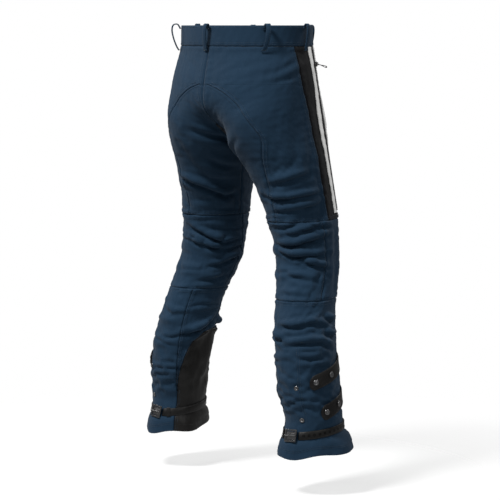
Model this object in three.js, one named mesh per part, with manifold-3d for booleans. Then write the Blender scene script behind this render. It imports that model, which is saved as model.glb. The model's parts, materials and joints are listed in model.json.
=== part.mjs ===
// Riding trousers in the shape they take on a wearer: legs apart, knees pre-curved, toes turned out.
// Millimetres, +Z up. The origin is the middle of the waist opening at the waistband's top edge.
// The wearer faces -Y, so the wearer's left is +X. Everything is modelled for the left and mirrored.
import * as THREE from "three";
import Module from "manifold-3d";
import { mergeVertices } from "three/addons/utils/BufferGeometryUtils.js";

const wasm = await Module();
wasm.setup();

// ---- Driving dimensions ----
const CLOTH = 2.4; // thickness of a shell panel with its seam allowances
const SEAM_GAP = 0.4; // clear gap between two panels that are sewn edge to edge
const REST_GAP = 0.9; // clear gap under a piece that lies on the cloth
const WAISTBAND_HEIGHT = 50;
const WAISTBAND_PROUD = 0.6; // the waistband is a little thicker than the panels under it
const HIP_WIDTH = 412; // across both thighs just under the seat
const CROTCH_Z = -285;
const INSIDE_LEG = 729; // from the crotch down to the hem
const HEM_Z = CROTCH_Z - INSIDE_LEG;
const HEM_TILT = 0.1; // the hem drops towards the heel by this much per millimetre
const HEM_TILT_START = HEM_Z + 134;
const KNEE_SEAM_TOP = CROTCH_Z - 0.2469 * INSIDE_LEG; // the knee panel keeps its share of the leg
const KNEE_SEAM_LOW = CROTCH_Z - 0.5007 * INSIDE_LEG;
const LINING_LOW = KNEE_SEAM_TOP + 13;
const LINING_THICK = 1.4;
const LINING_DEPTH = CLOTH + 3; // how far inside the outer surface the lining hangs

const ZIP_TOP_Z = -WAISTBAND_HEIGHT - 6;
const ZIP_LOW_Z = KNEE_SEAM_TOP + 19;
const ZIP_DEG = -46; // the vent zip's place round the leg, ahead of the side
const ZIP_END = 4; // the chain stops this far short of the zip's ends
const ZIP_REACH_DEG = 62; // how far round the leg the cloth is drawn to the straight zip
const VENT_BAND_REAR = 60; // widths of the black vent band, behind the zip and ahead of it
const VENT_BAND_REAR_TOP = 72; // behind the zip at the waist, where the band flares
const VENT_BAND_FRONT = 46;
const VENT_FLARE = 210; // the height over which it flares
const STRIPE_NEAR = 9;
const STRIPE_WIDTH = 21;
const STRIPE_THICK = 1.0;
const CHAIN_WIDTH = 6;
const CHAIN_THICK = 1.8;
const SLIDER_LENGTH = 12;
const SLIDER_WIDTH = 9;
const SLIDER_THICK = 3;
const PULLER_LENGTH = 26;
const PULLER_WIDTH = 7;
const PULLER_THICK = 1.4;
const PULLER_LIFT_DEG = 62; // the puller's angle off the zip, as it stands
const STUD_RADIUS = 6;

const LOOP_WIDTH = 12;
const LOOP_THICK = 2.4;
const LOOP_TOP = 3; // how far a belt loop rises above the waistband
const LOOP_STAND = 2.2; // how far its sewn ends stand off the cloth
const LOOP_LOW = -WAISTBAND_HEIGHT - 11;
const STRAP_THICK = 2.2;
const STRAP_WIDTH = 35;
const STRAP_START_DEG = -97;
const STRAP_SLOPE = 0.38; // drop per millimetre of run towards the back
// Each strap's middle on the outer side of the leg, and its tip's angle.
const UPPER_STRAP = { z: HEM_Z + 183, tip: 31 };
const LOWER_STRAP = { z: HEM_Z + 105, tip: 17 };
const SNAP_STEPS_DEG = [11, 43]; // the two press studs, back from the strap's tip
const SNAP_RADIUS = 6.5;
const SNAP_HEIGHT = 2.6;
const BELT_WIDTH = 20;
const BELT_THICK = 2.4;
const BELT_Z = HEM_Z + 0.0741 * INSIDE_LEG;
const BELT_SLOPE = 0.1;
const BUCKLE_AT_DEG = 75;
const BUCKLE_LENGTH = 34;
const BUCKLE_HEIGHT = 30;
const BUCKLE_BAR = 3.6;
const BUCKLE_THICK = 3;
const PRONG_RADIUS = 1.3;
const GUARD_REAR_DEG = 120; // leather calf guard, round the inner side of the leg
const GUARD_FRONT_DEG = 250;
const GUARD_TOP = HEM_Z + 259;
const GUARD_CURVE = 190; // its top edge is a quarter of an ellipse this high, down to its rear edge
const ARMOUR_THICK = 8;

const COLOURS = {
  navy: [0x22384e, 0.85, 0],
  black_cloth: [0x17181a, 0.9, 0],
  reflective: [0xe8e8e4, 0.5, 0],
  leather: [0x1d1c1b, 0.5, 0],
  steel: [0x8d8f90, 0.35, 0.9],
  black_metal: [0x1b1b1c, 0.4, 0.6],
  foam: [0x3a3d40, 0.8, 0],
  mesh: [0x2b2d30, 0.9, 0],
};

// ---- Outline tables: how the horizontal sections change with height ----
// Drawn for these sizes, and stretched to the driving ones.
const DRAWN = { hipWidth: 412, insideLeg: 729 };
const wide = HIP_WIDTH / DRAWN.hipWidth;
const legHeight = (z) => (z < CROTCH_Z ? CROTCH_Z + (z - CROTCH_Z) * (INSIDE_LEG / DRAWN.insideLeg) : z);
// One leg: height, centre x and y, half width, half depth, turn of the section in degrees.
const LEG = [
  [-120, 95, 3, 100, 138, 0],
  [-200, 97, 2, 104, 142, 0],
  [-240, 100, -1, 104, 138, 0],
  [-262, 102, -3, 104, 134, 0],
  [CROTCH_Z, 105, -6, 105, 128, 0],
  [-305, 113, -11, 102, 121, 0],
  [-325, 120, -16, 97, 114, 0],
  [-350, 128, -21, 91, 107, 0],
  [-385, 137, -30, 86, 99, 1],
  [-425, 145, -38, 81, 93, 2],
  [-465, 151, -43, 78, 89, 3],
  [-510, 158, -48, 76, 84, 4],
  [-560, 165, -47, 74, 81, 5],
  [-610, 177, -32, 72, 78, 6],
  [-650, 187, -15, 69, 74, 7],
  [-700, 198, 1, 68, 74, 8],
  [-775, 213, 12, 71, 76, 9],
  [-860, 225, 13, 71.5, 77, 11],
  [-910, 232, 8, 69.5, 72, 12],
  [-935, 236, 5, 68, 68.5, 13],
  [-960, 236, 6, 63, 73, 14],
  [-970, 237, 6, 64, 76, 14],
  [-985, 240, 4, 70, 89, 15],
  [-1035, 246, 1, 76, 98, 16],
];
// Waist and hips: half width, front reach, back reach and squareness of the section.
const TORSO = [
  [10, 181, 134, 127, 2.1],
  [0, 180, 134, 126, 2.1],
  [-50, 181, 133, 127, 2.12],
  [-85, 189, 132.5, 133, 2.2],
  [-120, 195, 132, 142, 2.3],
  [-165, 200, 134, 149, 2.4],
  [-200, 203, 135, 150, 2.5],
  [-240, 206, 130, 146, 2.5],
  [CROTCH_Z, 210, 122, 138, 2.5],
];
// The rise seam on the centre plane: y at the front and at the back.
const RISE = [
  [-120, -132, 142],
  [-165, -130, 145],
  [-200, -122, 135],
  [-222, -108, 116],
  [-240, -90, 92],
  [-258, -66, 64],
  [-272, -42, 36],
  [-281, -20, 12],
  [CROTCH_Z, -4, -4],
];
const CLEFT_ROUNDING = 38; // how softly the seat dips at the rise seam
const LOBES_FULL_Z = -238; // below this height the section is two lobes
const LOBES_START_Z = -135; // above this height it is one oval

// A smooth function of height through one column of a table whose heights fall.
function column(table, index) {
  const z = table.map((row) => row[0]);
  const f = table.map((row) => row[index]);
  const slope = z.map((_, i) => {
    const a = Math.max(0, i - 1);
    const b = Math.min(z.length - 1, i + 1);
    return (f[b] - f[a]) / (z[b] - z[a]);
  });
  return (at) => {
    if (at >= z[0]) return f[0];
    if (at <= z[z.length - 1]) return f[z.length - 1];
    const i = z.findIndex((_, k) => at <= z[k] && at >= z[k + 1]);
    const h = z[i + 1] - z[i];
    const t = (at - z[i]) / h;
    return (
      f[i] * (1 + 2 * t) * (1 - t) ** 2 +
      slope[i] * h * t * (1 - t) ** 2 +
      f[i + 1] * t * t * (3 - 2 * t) +
      slope[i + 1] * h * t * t * (t - 1)
    );
  };
}

// A table with its heights stretched to the leg and its first few columns to the girth.
const fitted = (table, widths) =>
  table.map(([z, ...row]) => [legHeight(z), ...row.map((value, i) => (i < widths ? value * wide : value))]);
const [legTable, torsoTable, riseTable] = [fitted(LEG, 4), fitted(TORSO, 3), fitted(RISE, 2)];
const leg = {
  x: column(legTable, 1),
  y: column(legTable, 2),
  a: column(legTable, 3),
  b: column(legTable, 4),
  turn: column(legTable, 5),
};
const torso = {
  a: column(torsoTable, 1),
  front: column(torsoTable, 2),
  back: column(torsoTable, 3),
  n: column(torsoTable, 4),
};
const rise = { front: column(riseTable, 1), back: column(riseTable, 2) };
const rad = THREE.MathUtils.degToRad;
const smooth = (x) => THREE.MathUtils.smoothstep(x, 0, 1);

// One leg's section. theta is 0 on the outer side, -90 at the front, 90 at the back, 180 inside.
function lobePoint(theta, z) {
  const [cx, cy, a, b] = [leg.x(z), leg.y(z), leg.a(z), leg.b(z)];
  const c = Math.cos(theta);
  const s = Math.sin(theta);
  if (z <= CROTCH_Z || c >= 0) {
    const turn = rad(leg.turn(z));
    const [dx, dy] = [a * c, b * s];
    return [cx + dx * Math.cos(turn) - dy * Math.sin(turn), cy + dx * Math.sin(turn) + dy * Math.cos(turn)];
  }
  const x = cx + cx * c;
  const soft = CLEFT_ROUNDING * smooth((z - CROTCH_Z) / 50) + 1e-6;
  const bent = (cx * (Math.hypot(x, soft) - soft)) / (Math.hypot(cx, soft) - soft);
  const share = (at) => 1 - ((cx - at) / a) ** 2;
  const seam = s >= 0 ? rise.back(z) - cy : cy - rise.front(z);
  const lift = (seam * seam - b * b * share(0)) * (1 - smooth(x / cx));
  const depth = Math.sqrt(Math.max(0, b * b * share(bent) + lift));
  return [x, cy + (s >= 0 ? depth : -depth)];
}

function torsoPoint(theta, z) {
  const power = 2 / torso.n(z);
  const c = Math.cos(theta / 2);
  const s = Math.sin(theta / 2);
  const reach = s >= 0 ? torso.back(z) : torso.front(z);
  return [torso.a(z) * Math.max(0, c) ** power, Math.sign(s) * reach * Math.abs(s) ** power];
}

// How much of the section is two lobes at this height.
const lobeShare = (z) => smooth((LOBES_START_Z - z) / (LOBES_START_Z - LOBES_FULL_Z));

function bodyPoint(theta, z) {
  const k = lobeShare(z);
  const [tx, ty] = torsoPoint(theta, z);
  if (k === 0) return [tx, ty];
  const [lx, ly] = lobePoint(theta, z);
  return [tx + k * (lx - tx), ty + k * (ly - ty)];
}

// The vent zip is straight between two points of the cloth.
const onBody = (z) => {
  const [x, y] = bodyPoint(rad(ZIP_DEG), z);
  return { x, y, z };
};
const ZIP_TOP = onBody(ZIP_TOP_Z);
const ZIP_LOW = onBody(ZIP_LOW_Z);

function zipLine(z) {
  const t = (z - ZIP_TOP.z) / (ZIP_LOW.z - ZIP_TOP.z);
  return [ZIP_TOP.x + t * (ZIP_LOW.x - ZIP_TOP.x), ZIP_TOP.y + t * (ZIP_LOW.y - ZIP_TOP.y)];
}

// The angle at which the zip crosses the section, found by bisection on its direction from the middle.
function zipTheta(z) {
  const [zx, zy] = zipLine(z);
  const [mx, my] = [leg.x(z) * lobeShare(z), leg.y(z) * lobeShare(z)];
  const wanted = Math.atan2(zy - my, zx - mx);
  let [low, high] = [rad(-150), rad(30)];
  for (let i = 0; i < 40; i++) {
    const middle = (low + high) / 2;
    const [x, y] = bodyPoint(middle, z);
    if (Math.atan2(y - my, x - mx) < wanted) low = middle;
    else high = middle;
  }
  return (low + high) / 2;
}

const zipCache = new Map();
function zipPull(z) {
  if (!zipCache.has(z)) {
    const theta = zipTheta(z);
    const [x, y] = bodyPoint(theta, z);
    const [zx, zy] = zipLine(z);
    const fade = smooth((z - KNEE_SEAM_TOP + 55) / 60) * smooth((10 - z) / 50);
    zipCache.set(z, [theta, (zx - x) * fade, (zy - y) * fade]);
  }
  return zipCache.get(z);
}

// A point of the trousers' outer surface on the left side, theta in radians.
function surface(theta, z) {
  const turned = THREE.MathUtils.euclideanModulo(theta + Math.PI, 2 * Math.PI) - Math.PI;
  const wrapped = z > CROTCH_Z ? THREE.MathUtils.clamp(theta, -Math.PI, Math.PI) : turned;
  const [x, y] = bodyPoint(wrapped, z);
  const [zipAt, pullX, pullY] = zipPull(z);
  const near = smooth(1 - Math.abs(wrapped - zipAt) / rad(ZIP_REACH_DEG));
  const hem = smooth((HEM_TILT_START - z) / (HEM_TILT_START - HEM_Z));
  const drop = HEM_TILT * hem * (y - leg.y(z));
  return new THREE.Vector3(x + near * pullX, y + near * pullY, z - drop);
}

function normal(theta, z) {
  const dt = 0.004;
  const dz = 1;
  const [low, high] = z > CROTCH_Z ? [-Math.PI, Math.PI] : [-Infinity, Infinity];
  const round = surface(Math.min(theta + dt, high), z).sub(surface(Math.max(theta - dt, low), z));
  const up = surface(theta, Math.min(z + dz, 10)).sub(surface(theta, z - dz));
  return round.cross(up).normalize();
}

// A point at a distance out from the surface, kept on the left of the centre plane above the crotch.
function offset(theta, z, out) {
  const p = surface(theta, z).addScaledVector(normal(theta, z), out);
  if (z >= CROTCH_Z - 12) p.x = Math.max(p.x, SEAM_GAP / 2);
  return p;
}

// The angle that lies a distance round the section from another angle.
function along(theta, z, distance) {
  const step = 0.01;
  const speed = surface(theta + step, z).distanceTo(surface(theta - step, z)) / (2 * step);
  return theta + distance / speed;
}

// ---- Solids ----
// A closed solid between two layers of a grid of points: point(i, j, layer), layer 0 outside, 1 inside.
function gridSolid(rows, cols, point, ring = false) {
  const positions = [];
  const width = ring ? cols : cols + 1;
  for (const layer of [0, 1])
    for (let i = 0; i <= rows; i++)
      for (let j = 0; j < width; j++) positions.push(...point(i, j, layer).toArray());
  const at = (i, j, layer) => layer * (rows + 1) * width + i * width + (j % width);
  const index = [];
  const quad = (a, b, c, d) => index.push(a, b, c, a, c, d);
  for (let i = 0; i < rows; i++)
    for (let j = 0; j < cols; j++) {
      quad(at(i, j, 0), at(i + 1, j, 0), at(i + 1, j + 1, 0), at(i, j + 1, 0));
      quad(at(i, j, 1), at(i, j + 1, 1), at(i + 1, j + 1, 1), at(i + 1, j, 1));
    }
  for (let j = 0; j < cols; j++) {
    quad(at(0, j, 0), at(0, j + 1, 0), at(0, j + 1, 1), at(0, j, 1));
    quad(at(rows, j, 0), at(rows, j, 1), at(rows, j + 1, 1), at(rows, j + 1, 0));
  }
  if (!ring)
    for (let i = 0; i < rows; i++) {
      quad(at(i, 0, 0), at(i, 0, 1), at(i + 1, 0, 1), at(i + 1, 0, 0));
      quad(at(i, cols, 0), at(i + 1, cols, 0), at(i + 1, cols, 1), at(i, cols, 1));
    }
  const geometry = new THREE.BufferGeometry();
  geometry.setAttribute("position", new THREE.Float32BufferAttribute(positions, 3));
  geometry.setIndex(index);
  return geometry;
}

const lerp = THREE.MathUtils.lerp;

// Heights of the section rows that every layer shares, so that one layer's facets never cut another's.
const ROW_HEIGHTS = [
  -80, -110, -134, -141, -150, -165, -190, -212, -230, -245, -257, -267, -276, -282, -288, -296, -308, -325,
  -348, -375, -405, -435, -500, -530, -560, -590, -620, -680, -712, -745, -778, -812, -845, -872, -898, -920,
  -938, -953, -966, -978, -990, -1003,
].map(legHeight);
const rowsBetween = (top, low) => [top, ...ROW_HEIGHTS.filter((z) => z < top - 3 && z > low + 3), low];

// A panel from height top to low, between two angles that may change with height.
// Its columns crowd towards the second angle as crowd rises over 1.
function panel({ top, low, cols, from, to, outer = 0, inner = -CLOTH, crowd = 1 }) {
  const heights = rowsBetween(top - SEAM_GAP / 2, low + SEAM_GAP / 2);
  return gridSolid(heights.length - 1, cols, (i, j, layer) => {
    const z = heights[i];
    const a = along(from(z), z, SEAM_GAP / 2);
    const b = along(to(z), z, -SEAM_GAP / 2);
    return offset(lerp(a, b, 1 - (1 - j / cols) ** crowd), z, layer ? inner : outer);
  });
}

// A band that runs round the leg from one angle to another on a sloping middle line.
function band({ from, to, cols, middle, width, outer, inner, tip = 0 }) {
  const rows = 4;
  return gridSolid(rows, cols, (i, j, layer) => {
    const theta = lerp(from, to, j / cols);
    const toTip = along(0, middle(to), 1) ** -1 * Math.abs(to - theta);
    const half = (width / 2) * (tip && toTip < tip ? Math.sqrt(1 - (1 - toTip / tip) ** 2 * 0.9) : 1);
    return offset(theta, middle(theta) + half * (1 - (2 * i) / rows), layer ? inner : outer);
  });
}

function solidOf(geometry) {
  const bare = new THREE.BufferGeometry();
  bare.setAttribute("position", geometry.getAttribute("position").clone());
  if (geometry.index) bare.setIndex(geometry.index.clone());
  const merged = mergeVertices(bare, 1e-4);
  return new wasm.Manifold(
    new wasm.Mesh({
      numProp: 3,
      vertProperties: new Float32Array(merged.attributes.position.array),
      triVerts: new Uint32Array(merged.index.array),
    }),
  );
}

function geometryOf(solid) {
  const mesh = solid.getMesh();
  const geometry = new THREE.BufferGeometry();
  geometry.setAttribute("position", new THREE.BufferAttribute(mesh.vertProperties, 3));
  geometry.setIndex(new THREE.BufferAttribute(mesh.triVerts, 1));
  return geometry;
}

const joined = (...parts) => geometryOf(parts.map(solidOf).reduce((whole, part) => whole.add(part)));
const cut = (from, cutter) => geometryOf(solidOf(from).subtract(solidOf(cutter)));

// A frame on the surface: x round the leg, y up along it, z out of it.
function frameAt(theta, z, out) {
  const n = normal(theta, z);
  const up = surface(theta, z + 2).sub(surface(theta, z - 2)).normalize();
  const side = new THREE.Vector3().crossVectors(up, n).normalize();
  up.crossVectors(n, side);
  return new THREE.Matrix4().makeBasis(side, up, n).setPosition(surface(theta, z).addScaledVector(n, out));
}

// A press stud or rivet head, wider at its foot.
const stud = (radius, height) =>
  new THREE.CylinderGeometry(radius * 0.82, radius, height, 20).rotateX(Math.PI / 2);

// A ribbon of the given thickness and width, whose middle line is a smooth curve through points.
function ribbon(points, thickness, width, steps) {
  const line = new THREE.SplineCurve(points.map(([x, y]) => new THREE.Vector2(x, y))).getPoints(steps);
  const sides = [1, -1].map((sign) =>
    line.map((p, i) => {
      const run = line[Math.min(i + 1, steps)].clone().sub(line[Math.max(i - 1, 0)]).normalize();
      return new THREE.Vector2(p.x - run.y * sign * (thickness / 2), p.y + run.x * sign * (thickness / 2));
    }),
  );
  const shape = new THREE.Shape([...sides[0], ...sides[1].reverse()]);
  const strip = new THREE.ExtrudeGeometry(shape, { depth: width, bevelEnabled: false });
  return strip.translate(0, 0, -width / 2);
}

// ---- The group and its mirrored pairs ----
const trousers = new THREE.Group();
const material = Object.fromEntries(
  Object.entries(COLOURS).map(([name, [color, roughness, metalness]]) => [
    name,
    new THREE.MeshStandardMaterial({ name, color, roughness, metalness }),
  ]),
);

function mirrored(geometry) {
  const g = geometry.clone().scale(-1, 1, 1);
  const flat = g.index ? g.toNonIndexed() : g;
  const p = flat.getAttribute("position");
  for (let i = 0; i < p.count; i += 3) {
    const [x, y, z] = [p.getX(i + 1), p.getY(i + 1), p.getZ(i + 1)];
    p.setXYZ(i + 1, p.getX(i + 2), p.getY(i + 2), p.getZ(i + 2));
    p.setXYZ(i + 2, x, y, z);
  }
  return flat;
}

function add(name, geometry, finish) {
  const mesh = new THREE.Mesh(geometry, material[finish]);
  mesh.name = name;
  trousers.add(mesh);
}

function addPair(name, geometry, finish) {
  add(name + "_left", geometry, finish);
  add(name + "_right", mirrored(geometry), finish);
}

// ---- Cloth panels ----
const flare = (z) => smooth(1 - (-WAISTBAND_HEIGHT - z) / VENT_FLARE);
const bandRear = (z) => along(zipTheta(z), z, lerp(VENT_BAND_REAR, VENT_BAND_REAR_TOP, flare(z)));
const bandFront = (z) => along(zipTheta(z), z, -VENT_BAND_FRONT);
const UPPER = { top: -WAISTBAND_HEIGHT, low: KNEE_SEAM_TOP };

// The horseshoe seam over the seat: how far it lies from the centre plane at each height.
const SEAT_TOP = -140;
const SEAT_EDGE = [
  [SEAT_TOP, 12],
  [-150, 44],
  [-165, 74],
  [-190, 106],
  [-230, 138],
  [-270, 158],
  [-325, 149],
  [-400, 148],
  [-465, 153],
];
const seatReach = column(fitted(SEAT_EDGE, 1), 1);

// The angle at which the seat seam crosses the back of the leg.
function seatSeam(z) {
  if (z > SEAT_TOP + 5) return Math.PI;
  let [near, far] = [Math.PI / 2 - 0.9, Math.PI];
  for (let i = 0; i < 30; i++) {
    const middle = (near + far) / 2;
    if (surface(middle, z).x > seatReach(z)) near = middle;
    else far = middle;
  }
  return near;
}

function makeUpperPanels() {
  addPair("back_panel", panel({ ...UPPER, cols: 8, from: bandRear, to: seatSeam }), "navy");
  const seat = { ...UPPER, top: SEAT_TOP, cols: 7, crowd: 1.3, from: seatSeam, to: () => Math.PI };
  addPair("seat_panel", panel(seat), "navy");
  addPair("front_panel", panel({ ...UPPER, cols: 7, from: () => -Math.PI, to: bandFront }), "navy");
  addPair("vent_band", panel({ ...UPPER, cols: 4, from: bandFront, to: bandRear }), "black_cloth");
  const stripe = { ...UPPER, top: UPPER.top - 2, low: ZIP_LOW.z - ZIP_END, cols: 1 };
  const lie = { outer: REST_GAP + STRIPE_THICK, inner: REST_GAP };
  const fromZip = (reach) => (z) => along(zipTheta(z), z, reach);
  const strip = (near, far) => ({ from: fromZip(near), to: fromZip(far) });
  const far = STRIPE_NEAR + STRIPE_WIDTH;
  addPair("rear_stripe", panel({ ...stripe, ...lie, ...strip(STRIPE_NEAR, far) }), "reflective");
  addPair("front_stripe", panel({ ...stripe, ...lie, ...strip(-far, -STRIPE_NEAR) }), "reflective");
}

// The waistband runs from centre front round the back to centre front again.
function makeWaistband() {
  const half = 22;
  const geometry = gridSolid(2, half * 2, (i, j, layer) => {
    const z = lerp(0, -WAISTBAND_HEIGHT + SEAM_GAP / 2, i / 2);
    const left = j <= half;
    const start = along(-Math.PI, -10, SEAM_GAP / 2);
    const theta = lerp(start, Math.PI, left ? j / half : 2 - j / half);
    const p = surface(theta, z).addScaledVector(normal(theta, z), layer ? -CLOTH : WAISTBAND_PROUD);
    if (j === half) p.x = 0;
    else p.x = Math.max(p.x, SEAM_GAP / 2);
    if (!left) p.x = -p.x;
    return p;
  });
  add("waistband", geometry, "navy");
}

// A closed sleeve of cloth round one leg.
function sleeve(top, low, cols) {
  const heights = rowsBetween(top, low);
  const point = (i, j, layer) => offset((2 * Math.PI * j) / cols - Math.PI, heights[i], layer ? -CLOTH : 0);
  return gridSolid(heights.length - 1, cols, point, true);
}

function makeKneePanels() {
  addPair("knee_panel", sleeve(KNEE_SEAM_TOP - SEAM_GAP / 2, KNEE_SEAM_LOW + SEAM_GAP / 2, 19), "navy");
}

// Everything below the hem's tilted plane.
function belowHem() {
  const tilt = Math.atan(HEM_TILT);
  const block = new THREE.BoxGeometry(400, 500, 100).translate(0, 0, -50).rotateX(-tilt);
  return block.translate(leg.x(HEM_Z), leg.y(HEM_Z), HEM_Z);
}

// The lower leg is a tube; the leather guard takes the place of its inner side.
function makeLowerLeg() {
  const tube = cut(sleeve(KNEE_SEAM_LOW - SEAM_GAP, HEM_Z - 5, 20), belowHem());
  const region = (grow, deep) => {
    const from = rad(GUARD_REAR_DEG) - grow / leg.a(GUARD_TOP);
    const to = rad(GUARD_FRONT_DEG) + grow / leg.a(GUARD_TOP);
    const cols = 14;
    return gridSolid(10, cols, (i, j, layer) => {
      const theta = lerp(from, to, (j / cols) ** 1.6); // closer columns where the edge is steep
      const s = THREE.MathUtils.clamp((Math.PI - theta) / (Math.PI - from), 0, 1);
      const top = GUARD_TOP - GUARD_CURVE * (1 - Math.sqrt(1 - s * s)) + grow;
      return offset(theta, lerp(top, HEM_Z - 20, i / 10), layer ? -deep : deep);
    });
  };
  const guard = geometryOf(solidOf(tube).intersect(solidOf(region(0, 12))));
  addPair("shin_panel", cut(tube, region(SEAM_GAP, 14)), "navy");
  addPair("calf_guard", guard, "leather");
}

// The lining is one pair of shorts in mesh cloth, waist to knee, joined along the rise.
function makeLining() {
  const slack = (z) => 8 * Math.exp(-(((z - CROTCH_Z) / 34) ** 2)); // more room under the rise
  const cols = 16;
  const hang = (top, low, ring) => {
    const heights = rowsBetween(top, low);
    return gridSolid(
      heights.length - 1,
      cols,
      (i, j, layer) => {
        const z = heights[i];
        const theta = (2 * Math.PI * j) / cols - Math.PI;
        const depth = LINING_DEPTH + slack(z) + layer * LINING_THICK;
        const p = surface(theta, z).addScaledVector(normal(theta, z), -depth);
        if (!ring) p.x = j === 0 || j === cols ? -0.3 : Math.max(p.x, 1);
        return p;
      },
      ring,
    );
  };
  const hips = hang(-WAISTBAND_HEIGHT - 2, CROTCH_Z - 1, false);
  const thigh = hang(CROTCH_Z + 0.5, LINING_LOW, true);
  const half = joined(hips, thigh);
  add("lining", joined(half, mirrored(half)), "mesh");
}

// ---- Vent zips ----
const zipVector = (p) => new THREE.Vector3(p.x, p.y, p.z);

// A frame on the straight zip: x across it, y up along it, z out of the cloth.
function zipFrame(distance, out) {
  const top = zipVector(ZIP_TOP);
  const up = top.clone().sub(zipVector(ZIP_LOW)).normalize();
  const middle = (ZIP_TOP.z + ZIP_LOW.z) / 2;
  const n = normal(zipTheta(middle), middle);
  const side = new THREE.Vector3().crossVectors(up, n).normalize();
  n.crossVectors(side, up);
  const at = top.addScaledVector(up, -distance).addScaledVector(n, out);
  return new THREE.Matrix4().makeBasis(side, up, n).setPosition(at);
}

const CHAIN_RISE = REST_GAP + 0.5; // keeps the straight chain clear of the cloth's curve
const CHAIN_TOP = CHAIN_RISE + CHAIN_THICK;
const SLIDER_START = 38; // from the chain's top end to the slider's middle, a little open
const CHAIN_LENGTH = zipVector(ZIP_TOP).distanceTo(zipVector(ZIP_LOW)) - 2 * ZIP_END;
const HINGE_HEIGHT = SLIDER_THICK + 1.4; // the puller's pivot above the slider's underside

function sliderBody() {
  const outline = new THREE.Shape();
  outline.moveTo(-SLIDER_WIDTH / 2, SLIDER_LENGTH / 2 - 1);
  outline.quadraticCurveTo(0, SLIDER_LENGTH / 2 + 1, SLIDER_WIDTH / 2, SLIDER_LENGTH / 2 - 1);
  outline.lineTo(SLIDER_WIDTH * 0.36, -SLIDER_LENGTH / 2);
  outline.lineTo(-SLIDER_WIDTH * 0.36, -SLIDER_LENGTH / 2);
  outline.closePath();
  return new THREE.ExtrudeGeometry(outline, { depth: SLIDER_THICK, bevelEnabled: false, curveSegments: 6 });
}

// The slider with the arch that holds its puller's crossbar.
function sliderWithArch() {
  const arch = new THREE.BoxGeometry(2, 7.6, 4).translate(0, 0, SLIDER_THICK + 1.6);
  const window = new THREE.BoxGeometry(4, 3.2, 2.7).translate(0, 0, SLIDER_THICK + 1.4);
  return joined(sliderBody(), cut(arch, window));
}

// The puller lies along +Y from its pivot at the origin: a crossbar, two arms and a plate with a slot.
function pullerShape() {
  const half = PULLER_WIDTH / 2;
  const outline = new THREE.Shape();
  outline.moveTo(-half, -0.7);
  outline.lineTo(half, -0.7);
  outline.lineTo(half * 0.86, PULLER_LENGTH - 3);
  outline.quadraticCurveTo(0, PULLER_LENGTH + 2, -half * 0.86, PULLER_LENGTH - 3);
  outline.closePath();
  const hole = (y0, y1, w) => {
    const path = new THREE.Path();
    path.moveTo(-w, y0);
    path.lineTo(-w, y1);
    path.lineTo(w, y1);
    path.lineTo(w, y0);
    path.closePath();
    return path;
  };
  outline.holes.push(hole(0.7, 6.5, 1.9), hole(PULLER_LENGTH - 9, PULLER_LENGTH - 4, 1.7));
  const options = { depth: PULLER_THICK, bevelEnabled: false, curveSegments: 6 };
  return new THREE.ExtrudeGeometry(outline, options).translate(0, 0, -PULLER_THICK / 2);
}

function makeVentZips() {
  const chain = new THREE.BoxGeometry(CHAIN_WIDTH, CHAIN_LENGTH, CHAIN_THICK);
  chain.applyMatrix4(zipFrame(ZIP_END + CHAIN_LENGTH / 2, CHAIN_RISE + CHAIN_THICK / 2));
  addPair("vent_zip_chain", chain, "black_metal");
  const seat = CHAIN_TOP + 0.4;
  const slider = sliderWithArch().applyMatrix4(zipFrame(SLIDER_START, seat));
  addPair("vent_zip_slider", slider, "black_metal");
  const puller = pullerShape().rotateX(Math.PI - rad(PULLER_LIFT_DEG));
  puller.applyMatrix4(zipFrame(SLIDER_START, seat + HINGE_HEIGHT));
  addPair("vent_zip_puller", puller, "black_metal");
  const foot = ZIP_LOW.z - ZIP_END - STUD_RADIUS - 1;
  const rivet = stud(STUD_RADIUS, SNAP_HEIGHT);
  rivet.applyMatrix4(frameAt(zipTheta(foot), foot, REST_GAP + SNAP_HEIGHT / 2));
  addPair("vent_stud", rivet, "steel");
}

// ---- Fly and waist closure, on the left of centre front ----
const FLY_TOP = -WAISTBAND_HEIGHT - 6;
const FLY_LOW = FLY_TOP - 130;
const FLY_ZIP_AT = 14; // distance of the fly zip from the centre plane
const FLY_WIDTH = 36;
const FLAP_CLEAR = 5.7; // how far the flap's inner face stands off the zip's line
const BUTTON_Z = 1 - WAISTBAND_HEIGHT / 2;
const BUTTON_AT = 20; // its distance from the centre plane
const BUTTON_RADIUS = 8.5;
const BUTTON_THICK = 3.4;

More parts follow.
